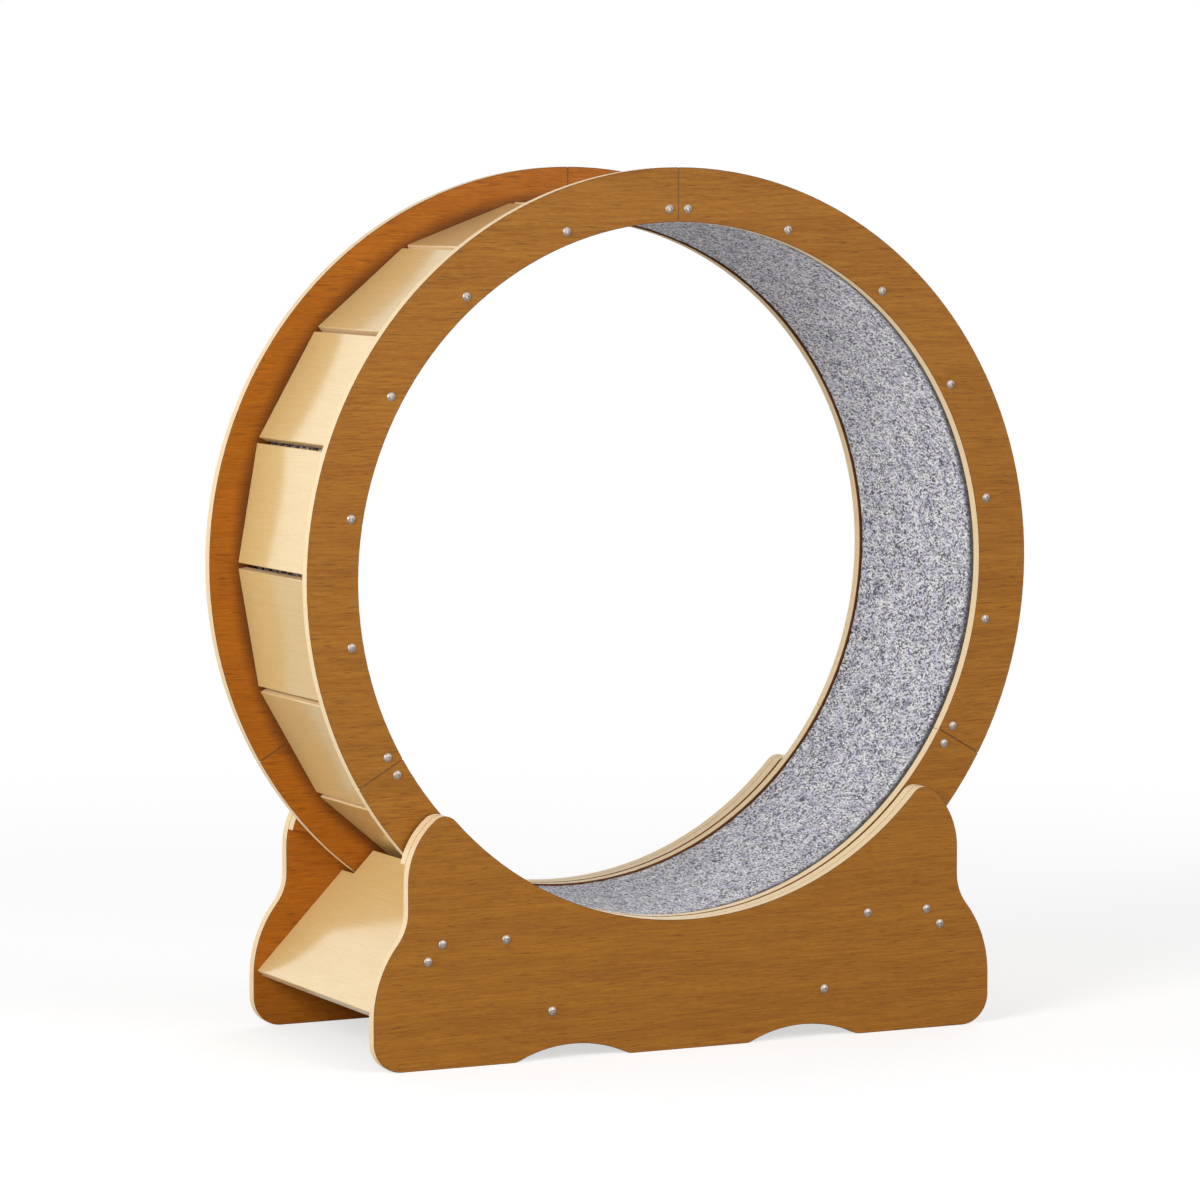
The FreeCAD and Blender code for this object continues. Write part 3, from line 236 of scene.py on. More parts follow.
grain_group, grain_in = start_group(
    "wood_grain", {"Position": VECTOR}, {"Tone": NUMBER, "Dashes": NUMBER, "Height": NUMBER}
)
wander = noise(grain_group, grain_in.outputs["Position"], WANDER_SIZE, detail=1)
shift = nudge(grain_group, 0.0, wander, WANDER_REACH)
shift_vector = add(grain_group, "ShaderNodeCombineXYZ", {"Z": shift}).outputs[0]
bent = vector_maths(grain_group, "ADD", grain_in.outputs["Position"], shift_vector)
fine_lines = squeezed_noise(grain_group, bent, FINE_LINE, detail=3)
broad_bands = squeezed_noise(grain_group, bent, BROAD_BAND)
pores = squeezed_noise(grain_group, bent, TINY_PORE, detail=1)
dash_noise = squeezed_noise(grain_group, bent, DASH, detail=1)
dashes = rescale(grain_group, dash_noise, *DASH_SPREAD)
lines_tone = rescale(grain_group, fine_lines, *LINES_SPREAD, 0, LINES_WEIGHT)
bands_tone = rescale(grain_group, broad_bands, *BANDS_SPREAD, 0, BANDS_WEIGHT)
pores_tone = rescale(grain_group, pores, *PORES_SPREAD, 0, PORES_WEIGHT)
tone = maths(grain_group, "ADD", maths(grain_group, "ADD", lines_tone, bands_tone), pores_tone)
dents = maths(grain_group, "MULTIPLY", dashes, DASH_DENT)
height = maths(grain_group, "SUBTRACT", tone, dents)
finish_group(grain_group, {"Tone": tone, "Dashes": dashes, "Height": height})

# %% [markdown]
# ## Plywood edges
# Where a board was sawn, its layers show as thin stripes. Every second layer is cut across its
# fibres, so it is a shade darker and rougher. The stripes could be separate strips of mesh, but
# they are flush on the real edge, so a pattern is right. The group takes the depth into the board
# in metres and folds it back and forth once a layer.

# %% The plywood edge group
GLUE_LINE = (0.42, 0.58)
CROSS_WEIGHT = 0.65
FIBRE_SIZE = 0.0012
FIBRE_SPREAD, FIBRE_WEIGHT = (0.35, 0.70), 0.35

layers_group, layers_in = start_group(
    "plywood_layers",
    {"Position": VECTOR, "Depth": NUMBER, "Layer": NUMBER},
    {"Layers": NUMBER, "Height": NUMBER},
)
folded = maths(layers_group, "PINGPONG", layers_in.outputs["Depth"], layers_in.outputs["Layer"])
phase = maths(layers_group, "DIVIDE", folded, layers_in.outputs["Layer"])
cross_tone = rescale(layers_group, phase, *GLUE_LINE, 0, CROSS_WEIGHT)
fibres = noise(layers_group, layers_in.outputs["Position"], FIBRE_SIZE)
fibre_tone = rescale(layers_group, fibres, *FIBRE_SPREAD, 0, FIBRE_WEIGHT)
layer_tone = maths(layers_group, "ADD", cross_tone, fibre_tone)
layer_height = maths(layers_group, "MULTIPLY", layer_tone, -1)
finish_group(layers_group, {"Layers": layer_tone, "Height": layer_height})

# %% [markdown]
# ## Starting a finish
# Every finish starts from a material with one Principled shader and a Bump node in front of its
# Normal input, and differs only in what is wired into them. A number that is the same all over a
# surface is typed straight into the shader.

# %% Helpers for finishes
def start_finish(name, bump_distance, bump_strength, **constants):
    """A material, its node tree, its shader and its Bump node."""
    material = bpy.data.materials.new(name)
    material.use_nodes = True
    tree = material.node_tree
    tree.nodes.clear()
    shader = add(tree, "ShaderNodeBsdfPrincipled")
    for label, value in constants.items():
        shader.inputs[label.replace("_", " ")].default_value = value
    add(tree, "ShaderNodeOutputMaterial", {"Surface": shader.outputs[0]})
    bump = add(tree, "ShaderNodeBump", {"Distance": bump_distance, "Strength": bump_strength})
    tree.links.new(bump.outputs[0], shader.inputs["Normal"])
    return material, tree, shader, bump


def wire(tree, feeds):
    """Connects [(output, input), ...]."""
    for source, target in feeds:
        tree.links.new(source, target)


def use_group(tree, group, inputs):
    """A shared effect placed in a finish."""
    return add(tree, "ShaderNodeGroup", inputs, node_tree=group)


def coordinate(tree, vector, axis):
    """The X, Y or Z of a vector."""
    return add(tree, "ShaderNodeSeparateXYZ", {0: vector}).outputs[axis]


print("shared effects so far:", [group.name for group in bpy.data.node_groups])

# %% [markdown]
# ## Faces and sawn edges
# A plywood board has two looks: its veneered faces, and the striped edges that the saw left pale.
# They could be two materials, one given to the faces and one to the edges. Here each board has one
# material that decides for itself by the direction that a surface looks in, so no face has to be
# picked. These two helpers hold what the stained and the pale boards share.

# %% Helpers for boards
BIRCH_EDGE = colour(250, 226, 184)
BIRCH_EDGE_DARK = colour(216, 174, 118)


def sawn_edge(tree, position, depth, layer, contrast):
    """The colour and the height of a sawn edge, whose layers are layer thick."""
    edge_inputs = {"Position": position, "Depth": depth, "Layer": layer}
    layers = use_group(tree, layers_group, edge_inputs)
    stripes = maths(tree, "MULTIPLY", layers.outputs["Layers"], contrast)
    return blend(tree, stripes, BIRCH_EDGE, BIRCH_EDGE_DARK), layers.outputs["Height"]


def wire_board(tree, shader, bump, face_share, face_colour, grain, edge, roughness):
    """Shows the face's colour and grain where face_share is 1, and the sawn edge where it is 0."""
    edge_colour, edge_height = edge
    heights = {"Factor": face_share, "A": edge_height, "B": grain.outputs["Height"]}
    wire(tree, [
        (blend(tree, face_share, edge_colour, face_colour), shader.inputs["Base Color"]),
        (rescale(tree, grain.outputs["Tone"], 0, 1, *roughness), shader.inputs["Roughness"]),
        (add(tree, "ShaderNodeMix", heights).outputs[0], bump.inputs["Height"]),
    ])


print("sawn edge, linear colour:", [round(part, 2) for part in BIRCH_EDGE[:3]])

# %% [markdown]
# ## Stained plywood, for the rings and the cradle
# The two faces of these boards carry a warm golden-brown stain, and so do the liners inside the
# cradle's panels. A face looks along the drum's axle and an edge doesn't, so the size of the
# surface normal's Y part tells them apart. The eased corner between them lies across the fibres and
# soaked up more stain, so every outline and every joint between two segments is a fine dark line.
# The faces turned inwards get a deeper, more orange colour, which is painted shade and bounce light
# from the stained boards around them. Where the slats meet a ring, a soft dark line is painted
# shade in the corner.

# %% The stained plywood
STAIN_LIGHT = colour(171, 112, 25)
STAIN_DARK = colour(135, 79, 10)
# Inner faces: painted shade and bounce light in a deeper orange.
INNER_PAINTED_SHADE_LIGHT = colour(188, 112, 18)
INNER_PAINTED_SHADE_DARK = colour(151, 81, 8)
STAIN_DASH, DASH_SHARE = colour(98, 53, 7), 0.5
EASED_STAIN, EASED_SHARE = colour(98, 56, 13), 0.7
# Painted shade: a soft dark line in the corner where the slats meet a ring.
CORNER_PAINTED_SHADE, CORNER_SHADE_SHARE = colour(74, 34, 6), 0.75
CORNER_SHADE_WIDTH = 0.022
# Between these values of the normal along the axle, one look passes into the next.
LOOKS_INWARDS = (-0.65, -0.45)
EASED_CORNER = (0.80, 0.95)
STAINED_FACE = (0.45, 0.65)
STAINED_ROUGHNESS = (0.62, 0.48)
STAINED_STRIPES = 0.45
RING_PLIES = 9
PLY_LAYER = RING_THICKNESS / RING_PLIES
THIN_PLY = 0.012


def spoke_to(tree, position):
    """The way from the axle straight out to a place on the drum."""
    from_axle = vector_maths(tree, "SUBTRACT", position, tuple(AXLE))
    return vector_maths(tree, "MULTIPLY", from_axle, (1, 0, 1))


def stained_plywood(name, shade_corner_radius=None):
    material, tree, shader, bump = start_finish(
        name, bump_distance=0.0002, bump_strength=0.35, Specular_IOR_Level=0.3
    )
    places = add(tree, "ShaderNodeTexCoord")
    position = places.outputs["Object"]
    grain = use_group(tree, grain_group, {"Position": position})
    depth = coordinate(tree, position, "Y")
    looks = coordinate(tree, places.outputs["Normal"], "Y")
    outwards = maths(tree, "MULTIPLY", maths(tree, "SIGN", depth), looks)
    # Faces turned inwards take the painted shade and bounce colours.
    inner_shade_share = rescale(tree, outwards, *LOOKS_INWARDS, 1, 0)
    light = blend(tree, inner_shade_share, STAIN_LIGHT, INNER_PAINTED_SHADE_LIGHT)
    dark = blend(tree, inner_shade_share, STAIN_DARK, INNER_PAINTED_SHADE_DARK)
    stained = blend(tree, grain.outputs["Tone"], dark, light)
    dash_share = maths(tree, "MULTIPLY", grain.outputs["Dashes"], DASH_SHARE)
    stained = blend(tree, dash_share, stained, STAIN_DASH)
    # Painted shade on the inner faces, fading out from where the slats meet the ring.
    if shade_corner_radius:
        reach = vector_maths(tree, "LENGTH", spoke_to(tree, position), output="Value")
        corner_end = shade_corner_radius + CORNER_SHADE_WIDTH
        corner = rescale(tree, reach, shade_corner_radius, corner_end, CORNER_SHADE_SHARE, 0)
        corner_shade_share = maths(tree, "MULTIPLY", corner, inner_shade_share)
        stained = blend(tree, corner_shade_share, stained, CORNER_PAINTED_SHADE)
    facing = maths(tree, "ABSOLUTE", looks)
    eased_share = rescale(tree, facing, *EASED_CORNER, EASED_SHARE, 0)
    stained = blend(tree, eased_share, stained, EASED_STAIN)
    edge = sawn_edge(tree, position, depth, PLY_LAYER, STAINED_STRIPES)
    face_share = rescale(tree, facing, *STAINED_FACE)
    wire_board(tree, shader, bump, face_share, stained, grain, edge, STAINED_ROUGHNESS)
    return material


finishes = {
    # The ring finish paints shade in the corner where the slats meet it.
    "ring_plywood": stained_plywood("ring_stained_plywood", BACKING_RADIUS + THIN_PLY),
    "panel_plywood": stained_plywood("cradle_stained_plywood"),
}
print("stained finishes:", sorted(finishes))

# %% [markdown]
# ## Pale birch, for the slats, the guard boards and the rails
# These boards are birch plywood under a clear satin varnish. Seen at a low angle, the varnish
# mirrors what stands behind it: white where that is the studio, golden where it is a stained
# board. A clear coat on the shader does this. The grain runs along the axle and is almost too
# faint to see. Every board leans its own way, so the plain position won't do for the grain: on the
# top slat its lines would lie inside the board. Each finish therefore works out a place of its own
# on the board: along the axle, into the board and across it. Round the drum, across is the way
# along the circle, and on a guard board it is the way down the slope.

# %% Measures on a leaning board
GUARD_SLOPE = math.radians(46)
GUARD_OUTWARD = (math.sin(GUARD_SLOPE), 0, math.cos(GUARD_SLOPE))
GUARD_DOWNHILL = (math.cos(GUARD_SLOPE), 0, -math.sin(GUARD_SLOPE))


def measure_from_axle(tree, position, normal):
    """How far a surface looks along the spokes, its distance from the axle, and the way round."""
    spoke = spoke_to(tree, position)
    direction = vector_maths(tree, "NORMALIZE", spoke)
    facing = vector_maths(tree, "DOT_PRODUCT", normal, direction, output="Value")
    depth = vector_maths(tree, "LENGTH", spoke, output="Value")
    angle = maths(tree, "ARCTAN2", coordinate(tree, spoke, "Z"), coordinate(tree, spoke, "X"))
    return facing, depth, maths(tree, "MULTIPLY", angle, BACKING_RADIUS)


def measure_on_slope(tree, position, normal):
    """The same for the guard boards, which slope down to the left and to the right."""
    side = maths(tree, "SIGN", coordinate(tree, position, "X"))
    mirror = add(tree, "ShaderNodeCombineXYZ", {"X": side, "Y": 1.0, "Z": 1.0}).outputs[0]
    outward = vector_maths(tree, "MULTIPLY", mirror, GUARD_OUTWARD)
    downhill = vector_maths(tree, "MULTIPLY", mirror, GUARD_DOWNHILL)
    facing = vector_maths(tree, "DOT_PRODUCT", normal, outward, output="Value")
    depth = vector_maths(tree, "DOT_PRODUCT", position, outward, output="Value")
    return facing, depth, vector_maths(tree, "DOT_PRODUCT", position, downhill, output="Value")


print("guard boards slope at", round(math.degrees(GUARD_SLOPE)), "degrees")

# %% The pale birch
BIRCH_LIGHT = colour(231, 201, 141)
BIRCH_DARK = colour(217, 182, 113)
BIRCH_GRAIN = 0.7
VARNISHED_FACE = (0.55, 0.75)
VARNISHED_ROUGHNESS = (0.55, 0.42)
VARNISHED_STRIPES = 0.6
THIN_PLIES = 7
THIN_PLY_LAYER = THIN_PLY / THIN_PLIES


def pale_birch(name, measure):
    material, tree, shader, bump = start_finish(
        name, bump_distance=0.00012, bump_strength=0.25,
        Specular_IOR_Level=0.3, Coat_Weight=1.0, Coat_Roughness=0.15, Coat_IOR=1.54,
    )
    places = add(tree, "ShaderNodeTexCoord")
    position = places.outputs["Object"]
    facing, depth, across = measure(tree, position, places.outputs["Normal"])
    on_board = {"X": coordinate(tree, position, "Y"), "Y": depth, "Z": across}
    on_board = add(tree, "ShaderNodeCombineXYZ", on_board).outputs[0]
    grain = use_group(tree, grain_group, {"Position": on_board})
    dark_grain = maths(tree, "SUBTRACT", 1.0, grain.outputs["Tone"])
    veneer_share = maths(tree, "MULTIPLY", dark_grain, BIRCH_GRAIN)
    veneer = blend(tree, veneer_share, BIRCH_LIGHT, BIRCH_DARK)
    edge = sawn_edge(tree, position, depth, THIN_PLY_LAYER, VARNISHED_STRIPES)
    face_share = rescale(tree, maths(tree, "ABSOLUTE", facing), *VARNISHED_FACE)
    wire_board(tree, shader, bump, face_share, veneer, grain, edge, VARNISHED_ROUGHNESS)
    return material


finishes["slat_plywood"] = pale_birch("slat_pale_birch", measure_from_axle)
finishes["board_plywood"] = pale_birch("board_pale_birch", measure_on_slope)
print("finishes so far:", len(finishes))

# %% [markdown]
# ## Metal and nylon
# The bolts and nuts are bright zinc plate, the parts on the axles are bare turned steel, and the
# rollers are off-white nylon. Metal shows mostly what is around it, so its colour matters less than
# how rough it is. A little cloudiness in the roughness keeps a small part from looking like chrome.

# %% The hardware finishes
ZINC, ZINC_ROUGHNESS = colour(186, 176, 168), (0.32, 0.46)
STEEL, STEEL_ROUGHNESS = colour(176, 178, 182), (0.18, 0.34)
CLOUD_SIZE, CLOUD_SPREAD = 0.004, (0.3, 0.7)
CLOUD_SHADE = 0.82
TOOL_MARK_SIZE = 0.0006
NYLON = colour(232, 228, 216)
NYLON_WORN = colour(206, 200, 186)
NYLON_ROUGHNESS = (0.38, 0.60)
SCUFF_SIZE, SCUFF_SPREAD = 0.003, (0.42, 0.68)


def hardware_metal(name, base, roughness):
    material, tree, shader, bump = start_finish(
        name, bump_distance=0.00005, bump_strength=0.2, Metallic=1.0
    )
    position = add(tree, "ShaderNodeTexCoord").outputs["Object"]
    cloud = noise(tree, position, CLOUD_SIZE, detail=3)
    shade = [CLOUD_SHADE * part for part in base[:3]] + [1]
    base_share = rescale(tree, cloud, *CLOUD_SPREAD)
    wire(tree, [
        (blend(tree, base_share, shade, base), shader.inputs["Base Color"]),
        (rescale(tree, cloud, *CLOUD_SPREAD, *roughness), shader.inputs["Roughness"]),
        (noise(tree, position, TOOL_MARK_SIZE), bump.inputs["Height"]),
    ])
    return material


def roller_nylon(name):
    material, tree, shader, bump = start_finish(name, bump_distance=0.0001, bump_strength=0.3)
    position = add(tree, "ShaderNodeTexCoord").outputs["Object"]
    scuffs = rescale(tree, noise(tree, position, SCUFF_SIZE, detail=4), *SCUFF_SPREAD)
    wire(tree, [
        (blend(tree, scuffs, NYLON, NYLON_WORN), shader.inputs["Base Color"]),
        (rescale(tree, scuffs, 0, 1, *NYLON_ROUGHNESS), shader.inputs["Roughness"]),
        (scuffs, bump.inputs["Height"]),
    ])
    return material


finishes["bolt_steel"] = hardware_metal("zinc_bolts", ZINC, ZINC_ROUGHNESS)
finishes["inner_steel"] = hardware_metal("turned_steel", STEEL, STEEL_ROUGHNESS)
finishes["roller_nylon"] = roller_nylon("nylon_rollers")
print("finishes so far:", len(finishes))

# %% [markdown]
# ## Carpet pile
# The running track is a short loop-pile carpet in mottled grey: white, mid-grey and slate yarns
# mixed at random, each tuft two to four millimetres across, with cooler and warmer patches. The
# pattern is laid out on the strip while it is still flat, and follows it when it is rolled up,
# because it reads the strip's own UV map in metres. One cell texture gives each tuft its own shade
# and an outline of painted shade between tufts, fine noise splits it into strands, and two slow
# noises make blotches and faint bands along the track. Both cut edges are painted dark, further in
# at the front: partly the pile opening to its dark root, and partly painted shade from the rings
# beside it, deepest by the front ring. That dark line follows the width of the drum, roughened with
# noise.

# %% The carpet pile
FLAT_MAP = "flat_strip"
YARN_WHITE = colour(252, 251, 253)
YARN_GREY = colour(199, 198, 202)
YARN_SLATE = colour(90, 88, 97)
SLATE_TO_GREY = (0.02, 0.36)
GREY_TO_WHITE = (0.38, 0.80)
# Sizes across the track and along it.
TUFT = (0.0036, 0.0022)
BAND = (0.025, 0.12)
STRAND_SHARE = 0.36
BLOTCH_SIZE = 0.013
# How far the strands, blotches and bands carry a tuft from one yarn towards another.
STRAND_NUDGE, BLOTCH_NUDGE, BAND_NUDGE = 0.9, 0.55, 0.35
COOL_YARN = colour(235, 233, 245)
COOL_PATCH_SIZE, COOL_SPREAD = 0.018, (0.42, 0.60)
# Painted shade in the crevices between tufts.
CREVICE_SHADE, CREVICE_SHADE_SHARE = colour(54, 51, 60), 0.65
TUFT_OUTLINE = (0.48, 0.80)
STRAND_HEIGHT = 0.6
CUT_EDGE = CARPET_WIDTH / 2
# Both cut edges: open pile, and painted shade that the rings cast beside them.
PILE_ROOT_AND_SHADE, ROOT_AND_SHADE_SHARE = colour(50, 40, 36), 0.9
# From the cut edge inwards: the front is dark up to the first depth and clear from the second, and
# the back is clear from its only depth.
FRONT_FRAY_AND_SHADE = (0.008, 0.021)
BACK_FRAY_AND_SHADE = 0.0035
EDGE_BAND_CLUMP, EDGE_BAND_REACH = 0.005, 0.010


def divided(tree, flat_place, sizes):
    """A place on the flat strip, counted in cells of these sizes."""
    return vector_maths(tree, "DIVIDE", flat_place, (*sizes, 1))


def tuft_cells(tree, place):
    """Random cells one unit across, each with its own shade and its distance from the middle."""
    inputs = {"Vector": place, "Scale": 1.0, "Randomness": 1.0}
    cells = add(tree, "ShaderNodeTexVoronoi", inputs, voronoi_dimensions="2D", feature="F1")
    shade = add(tree, "ShaderNodeSeparateColor", {0: cells.outputs["Color"]}).outputs["Red"]
    return shade, cells.outputs["Distance"]


def frayed_and_shaded_edges(tree, flat_place):
    """How dark the open pile and painted shade make the track: 0 on it and up to ROOT_AND_SHADE_SHARE
    at its two cut edges.
    """
    place = add(tree, "ShaderNodeTexCoord").outputs["Object"]
    ragged = nudge(
        tree, coordinate(tree, place, "Y"), noise(tree, flat_place, EDGE_BAND_CLUMP), EDGE_BAND_REACH
    )
    from_front = [depth - CUT_EDGE for depth in FRONT_FRAY_AND_SHADE]
    front_root_and_shade = rescale(tree, ragged, *from_front, ROOT_AND_SHADE_SHARE, 0)
    back_root_and_shade = rescale(tree, ragged, CUT_EDGE - BACK_FRAY_AND_SHADE, CUT_EDGE, 0, ROOT_AND_SHADE_SHARE)
    return maths(tree, "MAXIMUM", front_root_and_shade, back_root_and_shade)


def carpet_pile(name):
    material, tree, shader, bump = start_finish(
        name, bump_distance=0.0012, bump_strength=0.9,
        Roughness=1.0, Specular_IOR_Level=0.15, Sheen_Weight=0.15, Sheen_Roughness=0.5,
    )
    flat_place = add(tree, "ShaderNodeUVMap", uv_map=FLAT_MAP).outputs[0]
    in_tufts = divided(tree, flat_place, TUFT)
    yarn, from_tuft = tuft_cells(tree, in_tufts)
    strands = noise(tree, in_tufts, STRAND_SHARE, roughness=0.6)
    blotches = noise(tree, flat_place, BLOTCH_SIZE, detail=3)
    bands = noise(tree, divided(tree, flat_place, BAND), 1)
    mottled = nudge(tree, yarn, strands, STRAND_NUDGE)
    mottled = nudge(tree, mottled, blotches, BLOTCH_NUDGE)
    mottled = nudge(tree, mottled, bands, BAND_NUDGE)
    dark_to_grey = blend(tree, rescale(tree, mottled, *SLATE_TO_GREY), YARN_SLATE, YARN_GREY)
    shades = blend(tree, rescale(tree, mottled, *GREY_TO_WHITE), dark_to_grey, YARN_WHITE)
    cool_share = rescale(tree, noise(tree, flat_place, COOL_PATCH_SIZE), *COOL_SPREAD)
    cooled = blend(tree, 1.0, shades, COOL_YARN, how="MULTIPLY")
    shades = blend(tree, cool_share, shades, cooled)
    # Painted shade darkens each tuft's outline.
    crevice_shade = rescale(tree, from_tuft, *TUFT_OUTLINE, 0, CREVICE_SHADE_SHARE)
    shades = blend(tree, crevice_shade, shades, CREVICE_SHADE)
    # Painted shade from the rings and the open pile darken both cut edges.
    shades = blend(tree, frayed_and_shaded_edges(tree, flat_place), shades, PILE_ROOT_AND_SHADE)
    dome = maths(tree, "SUBTRACT", 1.0, from_tuft)
    strand_height = maths(tree, "MULTIPLY", strands, STRAND_HEIGHT)
    height = maths(tree, "ADD", dome, strand_height)
    wire(tree, [(shades, shader.inputs["Base Color"]), (height, bump.inputs["Height"])])
    return material


pile_finish = carpet_pile("carpet_pile_grey")
finishes["carpet_pile"] = pile_finish
print("pile:", pile_finish.name, "with", len(pile_finish.node_tree.nodes), "nodes")

# %% [markdown]
# ## Carpet backing
# The backing is a speckled cloth that only shows in the gaps between the slats. Its light specks on
# a dark ground could be a noise with hard limits, but a woven cloth has grains of one size. So they
# are the same kind of cells as the tufts, as wide as they are long.

# %% The carpet backing
BACKING_LIGHT = colour(206, 198, 192)
BACKING_DARK = colour(46, 36, 32)
WEAVE = (0.0034, 0.0034)
SPECK_SPREAD = (0.30, 0.60)


def carpet_backing(name):
    material, tree, shader, bump = start_finish(
        name, bump_distance=0.0005, bump_strength=0.8, Roughness=0.95, Specular_IOR_Level=0.1
    )
    flat_place = add(tree, "ShaderNodeUVMap", uv_map=FLAT_MAP).outputs[0]
    speck, from_speck = tuft_cells(tree, divided(tree, flat_place, WEAVE))
    light_share = rescale(tree, speck, *SPECK_SPREAD)
    wire(tree, [
        (blend(tree, light_share, BACKING_DARK, BACKING_LIGHT), shader.inputs["Base Color"]),
        (maths(tree, "SUBTRACT", 1.0, from_speck), bump.inputs["Height"]),
    ])
    return material


backing_finish = carpet_backing("carpet_backing_cloth")
print("backing:", backing_finish.name)

# %% [markdown]
# ## Giving the finishes to the construction
# Each piece came in with a plain material named after its finish. Pieces of one kind could be picked
# by hand, but the names do it for all of them at once. The plain material is swapped for the built
# one in the piece's own material slot, and nothing else about the piece changes.

# %% Swap the plain materials
swapped = 0
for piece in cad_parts.values():
    for slot in piece.material_slots:
        plain_name = slot.material.name.split(".")[0]
        slot.material = finishes[plain_name]
        swapped += 1
print("material slots filled:", swapped)

# %% [markdown]
# ## The carpet, cut flat
# The real carpet is a strip 300 mm wide, cut to the length of the drum's inside and glued in as a
# loop, pile inwards. It could be spun as a ring at once, but laying out tufts is easier on a flat
# strip. So it is cut flat first, standing on end with its length along Z, its width along Y and its
# pile towards +X, because that is how the bend in a later cell rolls it. The pile is a grid fine
# enough to carry tufts. Its rim is drawn outwards and down in two steps, as pile leans out over a
# cut edge, then the rim runs straight down to the backing, which is one wide face per row.

# %% Cut the carpet
CARPET_THICKNESS = 0.008
JOINT_GAP = 0.0006
PILE_RIM = 0.0035
PILE_DROPS = ((0.0016, 0.0008), (0.0019, 0.0022))
ROWS, COLUMNS = 820, 88
carpet_length = 2 * math.pi * BACKING_RADIUS - JOINT_GAP

pile_width = CARPET_WIDTH - 2 * PILE_RIM
pile_length = carpet_length - 2 * PILE_RIM
bpy.ops.mesh.primitive_grid_add(
    x_subdivisions=ROWS, y_subdivisions=COLUMNS, size=1,
    location=(CARPET_THICKNESS, 0, 0), rotation=(0, math.radians(90), 0),
)
carpet = bpy.context.object
carpet.name = "running_carpet"
carpet.scale = (pile_length, pile_width, 1)
bpy.ops.object.transform_apply(location=True, rotation=True, scale=True)
print("flat strip in mm:", round(1000 * CARPET_WIDTH), "x", round(1000 * carpet_length, 1))

# %% Draw its rim down to the backing
bpy.ops.object.mode_set(mode="EDIT")
bpy.ops.mesh.select_all(action="SELECT")
bpy.ops.mesh.region_to_loop()
width_now, length_now = pile_width, pile_length
depth_left = CARPET_THICKNESS
for outwards, downwards in PILE_DROPS:
    bpy.ops.mesh.extrude_edges_move(TRANSFORM_OT_translate={"value": (-downwards, 0, 0)})
    width_next, length_next = width_now + 2 * outwards, length_now + 2 * outwards
    bpy.ops.transform.resize(value=(1, width_next / width_now, length_next / length_now))
    width_now, length_now = width_next, length_next
    depth_left -= downwards
bpy.ops.mesh.extrude_edges_move(TRANSFORM_OT_translate={"value": (-depth_left, 0, 0)})
bpy.ops.object.mode_set(mode="OBJECT")
print("strip down to the backing in mm:", round(1000 * width_now), "x", round(1000 * length_now, 1))

# %% Close the back
def select_edges(piece, wanted):
    """Selects the edges for whose middle wanted(middle) is true, and nothing else."""
    mesh = piece.data
    mesh.vertices.foreach_set("select", [False] * len(mesh.vertices))
    mesh.polygons.foreach_set("select", [False] * len(mesh.polygons))
    flags = []
    for edge in mesh.edges:
        first, second = (mesh.vertices[index].co for index in edge.vertices)
        flags.append(wanted((first + second) / 2))
    mesh.edges.foreach_set("select", flags)


SLACK = 1e-5


def on_a_long_edge_of_the_back(middle):
    """True on the two long edges that the back is stretched between."""
    return abs(middle.x) < SLACK and abs(abs(middle.y) - width_now / 2) < SLACK


bpy.ops.object.mode_set(mode="EDIT")
bpy.ops.mesh.select_mode(type="EDGE")
bpy.ops.object.mode_set(mode="OBJECT")
select_edges(carpet, on_a_long_edge_of_the_back)
bpy.ops.object.mode_set(mode="EDIT")
bpy.ops.mesh.bridge_edge_loops()
bpy.ops.mesh.select_all(action="DESELECT")
bpy.ops.mesh.select_non_manifold(extend=False)
bpy.ops.mesh.fill_holes(sides=0)
bpy.ops.mesh.select_all(action="SELECT")
bpy.ops.mesh.normals_make_consistent(inside=False)
bpy.ops.object.mode_set(mode="OBJECT")
print("faces of the strip:", len(carpet.data.polygons))

# %% [markdown]
# ## Laying out the pattern
# The pile pattern reads a UV map in metres. Unwrapping the finished loop could stretch it, so the map
# is made while the strip is flat, when the place of a face on the cloth is simply its place in
# space. Cube projection does this: it looks at each face square on and writes down its two other
# coordinates.

# %% Map the flat strip
bpy.ops.object.mode_set(mode="EDIT")
bpy.ops.mesh.select_mode(type="FACE")
bpy.ops.mesh.select_all(action="SELECT")
bpy.ops.uv.cube_project(
    cube_size=1, correct_aspect=False, clip_to_bounds=False, scale_to_bounds=False
)
bpy.ops.object.mode_set(mode="OBJECT")
carpet.data.uv_layers.active.name = FLAT_MAP
print("map:", carpet.data.uv_layers.active.name)

# %% [markdown]
# ## Backing and pile
# The strip gets two finishes. Its back face and the lowest part of its rim are backing cloth and
# all the rest is pile. The faces are picked by their place, which is easy while x is the height
# above the backing.

# %% Give the strip its two finishes
# Faces whose middle lies lower than this are backing: the back, and the lowest part of the rim.
BACKING_REACH = 0.003

carpet.data.materials.append(pile_finish)
carpet.data.materials.append(backing_finish)
for face in carpet.data.polygons:
    face.material_index = 1 if face.center.x < BACKING_REACH else 0
    face.use_smooth = True
print("backing faces:", sum(face.material_index for face in carpet.data.polygons))

# %% [markdown]
# ## Tufts
# A flat strip would look printed. Single loops of yarn could be modelled, but there are far too many,
# so the pile is pushed up and down by two textures: small cells give clumps of tufts and soft clouds
# give the slight unevenness of cloth pressed down by running. A Displace modifier does this along
# X, limited by a vertex group to the pile, so that the backing stays true.

# %% Raise the tufts
TUFT_CLUMP = 0.0085
TUFT_RELIEF = 0.0012
SWELL_SIZE = 0.045
SWELL_RELIEF = 0.0010
PILE_GROUP = "pile"

